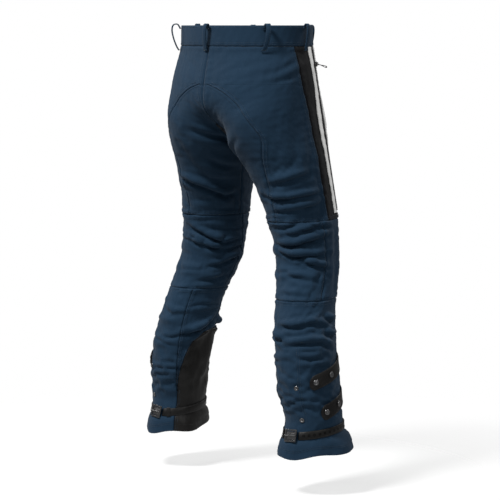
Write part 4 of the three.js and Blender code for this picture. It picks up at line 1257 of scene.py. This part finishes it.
def make_waistband():
    """The waistband: a folded band with rolled edges, from centre front round to centre front."""
    outer_face = [(-49.6, 0.0), (-48.4, 0.9), (-46, 1.2), (-38, 1.3), (-25, 1.45), (-12, 1.3), (-4, 1.3)]
    top_edge = [(-1.6, 1.0), (-0.5, 0.2), (-0.4, -0.8), (-1.5, -1.9)]
    inner_face = [(-4, -2.3), (-25, -2.4), (-46, -2.4), (-49, -2.0), (-49.8, -1.2)]
    profile = outer_face + top_edge + inner_face
    half = 150
    angle = np.concatenate([line(-BEHIND + 0.004, BEHIND, half), line(BEHIND, -BEHIND + 0.004, half)[1:]])
    rings = []
    for z, out in profile:
        ripple = 0.35 * np.sin(angle * 23 + z / 7) * smooth((-2 - z) / 8)
        left = cloth("left", angle[:half], z, out + ripple[:half])
        right = cloth("right", angle[half:], z, out + ripple[half:])
        rings.append(np.concatenate([left, right]))
    lattice = np.stack(rings, 1)
    n, m = lattice.shape[:2]
    ids = np.arange(n * m).reshape(n, m)
    wrap = np.concatenate([ids, ids[:, :1]], 1)
    faces = np.stack([wrap[:-1, :-1], wrap[1:, :-1], wrap[1:, 1:], wrap[:-1, 1:]], -1).reshape(-1, 4).tolist()
    faces += [ids[0].tolist(), ids[-1][::-1].tolist()]
    obj = plain_object("waistband_cloth", lattice.reshape(-1, 3) * MM, faces)
    bm = bmesh.new()
    bm.from_mesh(obj.data)
    bmesh.ops.recalc_face_normals(bm, faces=bm.faces)
    bm.to_mesh(obj.data)
    bm.free()
    uv = obj.data.uv_layers.new(name="cloth")
    flat = np.stack([np.repeat(np.arange(n) * 3.4, m), np.tile([p[0] for p in profile], n)], -1) * MM
    loops = np.empty(len(obj.data.loops), int)
    obj.data.loops.foreach_get("vertex_index", loops)
    uv.data.foreach_set("uv", flat[loops].ravel().astype(np.float32))
    for polygon in obj.data.polygons:
        polygon.use_smooth = len(polygon.vertices) == 4
    place(obj, navy, HIPS, "navy", "waistband")
    for side in SIDES:
        turn = line(-BEHIND + 0.03, BEHIND - 0.01, 200)
        for z in (-4.5, -45.5, -41.0):
            stitch_line("hips_" + side, side, turn, z, 0, 1.55)


LOOP_CURL = 11.0
LOOPS = [  # name, side, degrees, stand-off, and how far its middle and its top lean sideways
    ("belt_loop_centre_back", "left", 180, 12, 1.0, -4.0),
    ("belt_loop_back_left", "left", 88, 21, -1.0, 0.0),
    ("belt_loop_back_right", "right", 78, 16, LOOP_CURL, 2.0),
    ("belt_loop_side_left", "left", -12, 12, 1.0, 0.0),
    ("belt_loop_side_right", "right", -12, 12, -1.5, 0.0),
    ("belt_loop_front_left", "left", -118, 12, 0.5, 0.0),
    ("belt_loop_front_right", "right", -118, 12, -0.5, 0.0),
]
LOOP_THICK, LOOP_WIDTH = 2.4, 12.0


def spline(points, count):
    """A Catmull-Rom curve through points."""
    p = np.asarray(points, float)
    p = np.concatenate([[2 * p[0] - p[1]], p, [2 * p[-1] - p[-2]]])
    t = np.linspace(0, len(p) - 3 - 1e-9, count)
    i = np.floor(t).astype(int)
    return cubic(p[i], p[i + 1], p[i + 2], p[i + 3], (t - i)[:, None])


def make_loop(name, side, degrees, reach, lean, slant):
    """A belt loop: a strip sewn down above and below, standing off between, with its bar tacks."""
    theta = math.radians(degrees)
    n = np.array([0.0, 1, 0]) if degrees == 180 else normal_of(surface, np.array(theta), np.array(-25.0))
    n[2] = 0
    n = unit(n)
    foot = surface(np.array(theta), np.array(-25.0)) * [1, 1, 0]
    top = 2 if degrees > -90 else -0.5  # the front loops are sewn on under the waistband's edge
    if degrees == 180:
        foot[0] = 0
    bulge = float(np.dot(surface(np.array(theta), np.array(-61.0)) * [1, 1, 0] - foot, n))
    base = 2.2 + 0.9 + LOOP_THICK / 2
    line_ = [(base, -9), (base + reach * 0.35, top), (base + reach * 0.85, top - 2), (base + reach, -13),
             (base + reach * 0.8, -33), (base + reach * 0.45, -52), (base + max(0.6, bulge), -61)]
    flat = spline(line_, 48)
    flip = np.array([SIDES[side], 1, 1])
    across = np.cross(n, [0, 0, 1])
    bend = np.sin(np.linspace(0, np.pi, 48)) * lean + slant * (flat[:, 1] + 29) / 32
    path = (foot + n * flat[:, :1] + np.array([0, 0, 1.0]) * flat[:, 1:] + across * bend[:, None]) * flip
    run = unit(np.gradient(path, axis=0))
    side_way = across * flip
    up = unit(np.cross(side_way, run))
    piece = swept(name + "_cloth", path, up, LOOP_WIDTH / 2 - 0.1, LOOP_THICK / 2, across=side_way)
    layer = piece.data.uv_layers.new(name="cloth")
    for loop, data in zip(piece.data.loops, layer.data):
        k, c = divmod(loop.vertex_index, 12)
        data.uv = (k * 0.0019, c * 0.0021)
    place(piece, navy, HIPS, "navy", name)
    out = up if np.dot(up[24], n * flip) > 0 else -up
    rows = []
    for reach_ in (-3.9, 3.9):
        for k in range(3, 45, 2):
            heights = ((k, -0.05), (k + 1, 0.2))
            ends = [path[q] + side_way * reach_ + out[q] * (LOOP_THICK / 2 + h) for q, h in heights]
            last = path[k + 1] * 0.3 + path[min(47, k + 2)] * 0.7
            last = last + side_way * reach_ + out[k + 1] * (LOOP_THICK / 2 - 0.05)
            rows.append([ends[0], ends[1], last])
    for k in (2, 45):
        for step in np.linspace(-5, 5, 13):
            spot = path[k] + side_way * step + out[k] * (LOOP_THICK / 2 + 0.15)
            rows.append([spot - run[k] * 1.5, spot + out[k] * 0.15, spot + run[k] * 1.5])
    stitches.setdefault("loops", []).append(np.array(rows))


# ---- Vent zips ----
CHAIN_OUT = 0.9 + 0.5 + 0.9  # the middle of the chain above the plain surface
ZIP_DIRECTION = unit(ZIP_TOP - ZIP_LOW)
MIDDLE_Z = np.array((ZIP_TOP[2] + ZIP_LOW[2]) / 2)
ZIP_OUT = normal_of(surface, zip_at(MIDDLE_Z), MIDDLE_Z)
ZIP_SIDE = unit(np.cross(ZIP_DIRECTION, ZIP_OUT))
ZIP_OUT = np.cross(ZIP_SIDE, ZIP_DIRECTION)
TOOTH_PITCH = 1.5
PULLER_TWIST = 55


def make_vent_zip(side):
    flip = np.array([SIDES[side], 1, 1])
    length = np.linalg.norm(ZIP_TOP - ZIP_LOW) - 8
    teeth = []
    for k in range(int(length / TOOTH_PITCH)):
        spot = ZIP_TOP - ZIP_DIRECTION * (4 + TOOTH_PITCH * (k + 0.5)) + ZIP_OUT * CHAIN_OUT
        spot = spot + ZIP_SIDE * (0.8 if k % 2 else -0.8)
        teeth.append((spot * flip, ZIP_SIDE * flip * 1.9, ZIP_DIRECTION * flip * 0.62, ZIP_OUT * flip * 0.85))
    ends = (2.5, length + 5.5)
    for at in ends:
        spot = ZIP_TOP - ZIP_DIRECTION * at + ZIP_OUT * CHAIN_OUT
        teeth.append((spot * flip, ZIP_SIDE * flip * 2.6, ZIP_DIRECTION * flip * 1.3, ZIP_OUT * flip * 0.9))
    piece = hexes("vent_zip_teeth_" + side, teeth)
    fix_normals(piece)
    place(piece, gunmetal, HIPS, "black_metal", "vent_zip_chain_" + side)
    top, low = ZIP_TOP[2] - 1, ZIP_LOW[2] + 1
    tape = panel("vent_zip_tape_" + side, side, top, low, band_edge(-7.5), band_edge(7.5), "",
                 out=0.9, thick=0.5, step=4)
    place(tape, black_cloth, HIPS, "black_cloth")
    slider = finer_copy("vent_zip_slider_" + side, 0.3)
    place(slider, gunmetal, "vent_slider_" + side, "black_metal", "vent_zip_slider_" + side)
    puller = finer_copy("vent_zip_puller_" + side, 0.3)
    twist(puller, centre("vent_zip_slider_" + side), PULLER_TWIST * SIDES[side])
    place(puller, gunmetal, "vent_puller_" + side, "black_metal", "vent_zip_puller_" + side)
    foot = ZIP_LOW[2] - 4 - 6 - 1
    where = centre("vent_stud_" + side)
    axis = normal_of(surface, zip_at(foot), np.array(foot)) * flip
    cap = turned("vent_stud_cap_" + side, STUD_PROFILE, where, axis)
    place(cap, steel, HIPS, "steel", "vent_stud_" + side)
    tab = panel("vent_tab_" + side, side, foot + 9, foot - 7, band_edge(-8.5), band_edge(8.5), "",
                out=0.75, thick=0.7, step=2)
    place(tab, black_cloth, HIPS, "black_cloth")


def twist(obj, pivot, degrees):
    """Twists a puller about its long axis, more towards its free end, as worn pullers are."""
    points = np.array([v.co for v in obj.data.vertices]) / MM
    middle = points.mean(0)
    axis = unit(middle - pivot)
    along = (points - middle) @ axis
    share = smooth((along - along.min() - 7) / 9)
    turn = np.radians(degrees) * share
    off = points - middle - along[:, None] * axis
    turned_off = off * np.cos(turn)[:, None] + np.cross(axis, off) * np.sin(turn)[:, None]
    for vertex, point in zip(obj.data.vertices, (middle + along[:, None] * axis + turned_off) * MM):
        vertex.co = point


def fix_normals(obj):
    bm = bmesh.new()
    bm.from_mesh(obj.data)
    bmesh.ops.recalc_face_normals(bm, faces=bm.faces)
    bm.to_mesh(obj.data)
    bm.free()


# ---- Straps, snaps, belts and buckles ----
def plain(side, theta, z, out):
    """Points off the plain surface, where the CAD's straps lie."""
    p = surface(theta, z) + normal_of(surface, theta, z) * np.asarray(out, float)[..., None]
    return p * np.array([SIDES[side], 1, 1])


SHIN_RADIUS = 88.0


def make_strap(name, outer_z, tip, side):
    """A leather strap with a round tip, rolled edges and a stitched border."""
    tag = name + "_" + side
    theta = np.concatenate([line(STRAP_START, tip - 0.24, 80), line(tip - 0.24, tip, 26)[1:]])
    middle = strap_middle(outer_z, theta)
    to_tip = np.maximum(0, tip - theta) * SHIN_RADIUS
    round_tip = np.sqrt(np.clip(1 - (1 - to_tip / STRAP_HALF) ** 2 * 0.93, 0, 1))
    half = STRAP_HALF * np.where(to_tip < STRAP_HALF, round_tip, 1)
    across = np.concatenate([[-1, -0.985, -0.93], np.linspace(-0.86, 0.86, 11), [0.93, 0.985, 1]])
    edge = (1 - np.abs(across)) * STRAP_HALF
    lattice = []
    for face in (1, -1):
        round_off = np.sqrt(np.clip(1 - (1 - np.clip(edge / 1.3, 0, 1)) ** 2, 0, 1))
        swell = 0.35 * np.exp(-((edge - 6) / 3) ** 2) if face > 0 else 0
        dent = -0.35 * np.exp(-((edge - 2.6) / 0.7) ** 2) if face > 0 else 0
        out = 2.4 + face * (1.05 * round_off) + swell + dent
        t = np.repeat(theta[:, None], len(across), 1)
        z = middle[:, None] + half[:, None] * across[None, :]
        lattice.append(plain(side, t, z, out[None, :] + 0 * t))
    uv = arc_uv(np.repeat(theta[:, None], len(across), 1), middle[:, None] + half[:, None] * across[None, :])
    piece = solid(tag + "_leather", lattice[0], lattice[1], "right" if side == "left" else "left", uv=uv)
    place(piece, leather, tag, "leather", tag)
    rows = []
    for sign in (1, -1):
        border = theta[theta < tip - 0.05]
        z = strap_middle(outer_z, border)
        h = np.interp(border, theta, half) - 2.6
        pts = plain(side, border, z + sign * h, 3.45)
        rows.append(dashes(pts, 3.6, plain(side, border, z + sign * h, 3.75)))
    piece = thread_object(tag + "_stitching", rows)
    place(piece, black_thread, tag, "black_cloth")
    for which, step in SNAP_STEPS.items():
        node = name + which + side
        angle = tip - step
        height = np.array(strap_middle(outer_z, angle))
        axis = normal_of(surface, np.array(angle), height) * [SIDES[side], 1, 1]
        cap = turned(node + "_cap", SNAP_PROFILE, centre(node) - axis * 0.3, axis)
        place(cap, gunmetal, tag, "black_metal", node)


def dashes(points, pitch, lifted):
    """Stitches along a line of points: (start, raised middle, end) for each."""
    length = np.concatenate([[0], np.cumsum(np.linalg.norm(np.diff(points, axis=0), axis=1))])
    start = np.arange(pitch / 2, length[-1] - pitch, pitch)

    def at(s, line_):
        return np.stack([np.interp(s, length, line_[:, k]) for k in range(3)], -1)

    middle, end = start + pitch * 0.36, start + pitch * 0.72
    return np.stack([at(start, points), at(middle, lifted), at(end, points)], 1)


BUCKLE_AT = math.radians(75)
BUCKLE_GAP = math.radians(16.5)


def belt_middle(theta):
    return BELT_Z - BELT_SLOPE * column(LEG, 3, np.array(BELT_Z)) * np.sin(theta)


def make_ankle_belt(side):
    shin, tag = "shin_" + side, "_" + side
    theta = line(BUCKLE_AT + BUCKLE_GAP - ROUND, BUCKLE_AT - BUCKLE_GAP, 170)
    middle = belt_middle(theta)
    path = plain(side, theta, middle, 2.7)
    normals = normal_of(surface, theta, middle) * [SIDES[side], 1, 1]
    across = unit(plain(side, theta, middle + 3, 2.7) - plain(side, theta, middle - 3, 2.7))
    piece = swept("ankle_belt_leather" + tag, path, normals, BELT_HALF - 0.2, 1.15, across=across)
    place(piece, leather, shin, "leather", "ankle_belt" + tag)
    for k, degrees in enumerate(range(48, -43, -10)):
        angle = np.array(math.radians(degrees))
        where = plain(side, angle, belt_middle(angle), 3.85)
        axis = normal_of(surface, angle, belt_middle(angle)) * [SIDES[side], 1, 1]
        eyelet = turned(f"belt_eyelet_{k}{tag}", EYELET_PROFILE, where, axis, 20)
        place(eyelet, eyelet_and_hole_shade, shin, "black_metal")
    rows = []
    for sign in (1, -1):
        inner = theta[4:-4]
        z = belt_middle(inner) + sign * (BELT_HALF - 2.4)
        rows.append(dashes(plain(side, inner, z, 3.75), 3.6, plain(side, inner, z, 4.05)))
    place(thread_object("ankle_belt_stitching" + tag, rows), black_thread, shin, "black_cloth")
    keeper_at = line(BUCKLE_AT + BUCKLE_GAP + 0.16, BUCKLE_AT + BUCKLE_GAP + 0.30, 12)
    loop = plain(side, keeper_at, belt_middle(keeper_at), 4.5)
    facing = normal_of(surface, keeper_at, belt_middle(keeper_at)) * [SIDES[side], 1, 1]
    keeper = swept("belt_keeper" + tag, loop, facing, BELT_HALF + 1.4, 0.55)
    place(keeper, leather, shin, "leather")
    place(finer_copy("buckle_frame" + tag, 0.5), gunmetal, shin, "black_metal", "buckle_frame" + tag)
    place(finer_copy("buckle_prong" + tag, 0.3), prong_steel, "prong" + tag, "steel", "buckle_prong" + tag)
    for k, (degrees, z) in enumerate(((57, -852), (58, -930))):
        angle, height = np.array(math.radians(degrees)), np.array(float(z))
        axis = normal_of(surface, angle, height) * [SIDES[side], 1, 1]
        ring = turned(f"spare_socket_{k}{tag}", SOCKET_PROFILE, cloth(side, angle, height, 0.6), axis, 24)
        place(ring, gunmetal, shin, "black_metal")


# An eyelet: a ring round a sunken disc that closes the hole; the disc's near black is painted shade.
EYELET_PROFILE = [(0, -0.6), (1.5, -0.6), (1.6, 0.1), (2.1, 0.4), (2.8, 0.3), (3.1, 0), (3.1, -0.5),
                  (0, -0.9)]
SOCKET_PROFILE = [(0, 0.1), (2.2, 0.1), (2.5, 0.9), (3.4, 1.5), (5.0, 1.3), (5.8, 0.6), (5.9, -0.3),
                  (0, -0.4)]


# ---- Inside: lining and knee protectors ----
def make_lining():
    for side in SIDES:
        rows = np.concatenate([np.linspace(-52, CROTCH + 2, 44), np.linspace(CROTCH - 3, -452, 32)])
        theta, z = np.meshgrid(line(-BEHIND, BEHIND, 81), rows)
        slack = 6 * np.exp(-(((z - CROTCH) / 30) ** 2))
        outer = cloth(side, theta, z, -4.2 - slack)
        inner = cloth(side, theta, z, -5.0 - slack)
        above = z > CROTCH
        for layer in (outer, inner):
            beside = np.maximum(layer[..., 0] * SIDES[side], 0.2) * SIDES[side]
            layer[..., 0] = np.where(above, beside, layer[..., 0])
        piece = solid("lining_mesh_" + side, outer, inner, side, uv=arc_uv(theta, z))
        place(piece, lining_cloth, HIPS, "mesh", "lining")


def make_knee_protector(side):
    """A domed foam shell with pressed ribs, in the pocket behind the knee's front panel."""
    theta, z = np.meshgrid(line(math.radians(-138), math.radians(-42), 41), line(-482, -638, 53))
    u = (theta - math.radians(-90)) / math.radians(48)
    v = (z + 560) / 78
    edge = smooth((1 - np.maximum(np.abs(u), np.abs(v))) / 0.18)
    rib = 0.9 * np.cos(u * 9) * np.cos(v * 12)
    thick = 2.4 + 5.4 * edge + rib * edge
    deepest = -13.2
    outer = plain(side, theta, z, deepest + thick)
    inner = plain(side, theta, z, np.full_like(theta, deepest))
    piece = solid("knee_armour_" + side, outer, inner, side, uv=arc_uv(theta, z))
    place(piece, foam, None, "foam", "knee_protector_" + side)


# ---- Fly ----
FLY_TOP, FLY_LOW, FLY_WIDTH = -56.0, -186.0, 36.0


def fly_angle(z, reach):
    z = np.asarray(z, float)
    base = -BEHIND + 0.02
    speed = np.linalg.norm(surface(base + 0.01, z) - surface(base - 0.01, z), axis=-1) / 0.02
    return base + reach / speed


def make_fly():
    heights = line(FLY_TOP + 2, FLY_LOW - 8, 60)
    sewn_edge, free_edge = [0, 0.6, 1.6, 3.2, 5.2, 7.5], [FLY_WIDTH - 1.4, FLY_WIDTH]
    reach = np.concatenate([sewn_edge, np.linspace(10, FLY_WIDTH - 3, 12), free_edge])
    z = np.repeat(heights[:, None], len(reach), 1)
    corner = np.clip((heights - (FLY_LOW - 8)) / 26, 0, 1)[:, None]
    width = 1 - 0.45 * (1 - np.sqrt(np.clip(1 - (1 - corner) ** 2, 0, 1)))
    theta = fly_angle(z, 1 + reach[None, :] * width)
    stand = 11.2 * smooth(reach / 9)[None, :] * (1 - 0.12 * smooth((reach - 26) / 10))[None, :]
    stand = stand * smooth((-z - 50) / 10) + 1.2
    ripple = 0.5 * np.sin(z / 13) * smooth(reach / 20)[None, :]
    outer = plain("left", theta, z, stand + ripple)
    inner = plain("left", theta, z, stand + ripple - 1.6)
    piece = solid("fly_flap_cloth", outer, inner, "left", uv=arc_uv(theta, z))
    place(piece, navy, HIPS, "navy", "fly_flap")
    place(finer_copy("fly_zip_chain", 0.2), gunmetal, HIPS, "black_metal", "fly_zip_chain")
    place(finer_copy("fly_zip_slider", 0.25), gunmetal, "fly_slider", "black_metal", "fly_zip_slider")
    where = centre("waist_button")
    angle = -BEHIND + 20 / 118
    axis = normal_of(surface, np.array(angle), np.array(-24.0))
    profile = [(r * 1.28, h * 1.05) for r, h in SNAP_PROFILE]
    place(turned("waist_button_cap", profile, where, axis, 40), steel, HIPS, "steel", "waist_button")


# ---- Camera, light and stage ----
def make_stage():
    scene = bpy.context.scene
    scene.view_settings.view_transform = "Standard"
    camera = bpy.data.objects.new("camera", bpy.data.cameras.new("camera"))
    scene.collection.objects.link(camera)
    camera.data.lens, camera.data.sensor_width, camera.data.clip_end = 156, 36, 60
    reach = 5.3
    camera.location = (-reach * math.sin(math.radians(45)), reach * math.cos(math.radians(45)), 0)
    aim = Vector((-0.0069, -0.0069, -0.55))
    camera.rotation_euler = (aim - camera.location).to_track_quat("-Z", "Y").to_euler()
    scene.camera = camera
    world = bpy.data.worlds.new("studio")
    scene.world = world
    world.use_nodes = True
    tree = world.node_tree
    back = tree.nodes["Background"]
    back.inputs["Color"].default_value = (1, 1, 1, 1)
    ray = tree.nodes.new("ShaderNodeLightPath")
    power = tree.nodes.new("ShaderNodeMapRange")
    power.inputs["To Min"].default_value = 0.22
    power.inputs["To Max"].default_value = 1.0
    tree.links.new(ray.outputs["Is Camera Ray"], power.inputs["Value"])
    tree.links.new(power.outputs[0], back.inputs["Strength"])
    lamps = [  # name, place, size, watts
        ("key", (0.3, 3.0, 3.6), 1.0, 285),
        ("side", (-4.2, 1.2, 1.6), 1.4, 34),
        ("far", (3.4, 1.0, 1.4), 1.2, 50),
        ("front", (-0.8, -3.8, 2.6), 1.8, 90),
    ]
    for name, where, size, watts in lamps:
        lamp = bpy.data.objects.new(name, bpy.data.lights.new(name, "AREA"))
        lamp.data.size, lamp.data.energy = size, watts
        lamp.location = where
        lamp.rotation_euler = (Vector((0, 0, -0.5)) - lamp.location).to_track_quat("-Z", "Y").to_euler()
        scene.collection.objects.link(lamp)
    square = [(-4, -4, 0), (4, -4, 0), (4, 4, 0), (-4, 4, 0)]
    floor = plain_object("floor", np.array(square) + [0, 0, -1.115], [[0, 1, 2, 3]])
    n = Nodes("pale_floor", (0.93, 0.93, 0.93), 0.8, specular=0.1)
    far = n.add("ShaderNodeVectorMath", operation="LENGTH")
    n.put(far.inputs[0], n.add("ShaderNodeVectorMath", operation="MULTIPLY").outputs[0])
    scaled = far.inputs[0].links[0].from_node
    n.put(scaled.inputs[0], n.place())
    scaled.inputs[1].default_value = (1, 1, 0)
    fade = n.add("ShaderNodeMapRange", Value=far.outputs["Value"])
    fade.inputs["From Min"].default_value = 0.3
    fade.inputs["From Max"].default_value = 1.3
    fade.inputs["To Min"].default_value = 0.62
    clear = n.add("ShaderNodeBsdfTransparent")
    mix = n.add("ShaderNodeMixShader")
    n.put(mix.inputs[0], fade.outputs[0])
    n.put(mix.inputs[1], n.shader.outputs[0])
    n.put(mix.inputs[2], clear.outputs[0])
    n.put(n.tree.nodes["Material Output"].inputs["Surface"], mix.outputs[0])
    floor.data.materials.append(n.material)


make_stage()
simulate()
for side in SIDES:
    make_cloth(side)
    make_vent_zip(side)
    for strap, (outer_z, tip) in STRAPS.items():
        make_strap(strap, outer_z, tip, side)
    make_ankle_belt(side)
    make_knee_protector(side)
make_waistband()
for loop in LOOPS:
    make_loop(*loop)
make_lining()
make_fly()

THREADS = {"hips": navy_thread, "knee": navy_thread, "shin": navy_thread, "guard": black_thread,
           "tape": grey_thread, "loops": navy_thread}
for group, runs in stitches.items():
    kind, _, side = group.partition("_")
    rows = thread_object(group + "_stitching", runs)
    body = None if kind == "knee" else HIPS if kind in ("hips", "tape", "loops") else "shin_" + side
    slot = {"tape": "reflective", "guard": "leather"}.get(kind, "navy")
    place(rows, THREADS[kind], body, slot)

for side, sign in SIDES.items():
    for name in ("knee_back_{}", "knee_front_{}", "knee_armour_{}", "knee_{}_stitching"):
        piece = bpy.data.objects[name.format(side)]
        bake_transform(piece)
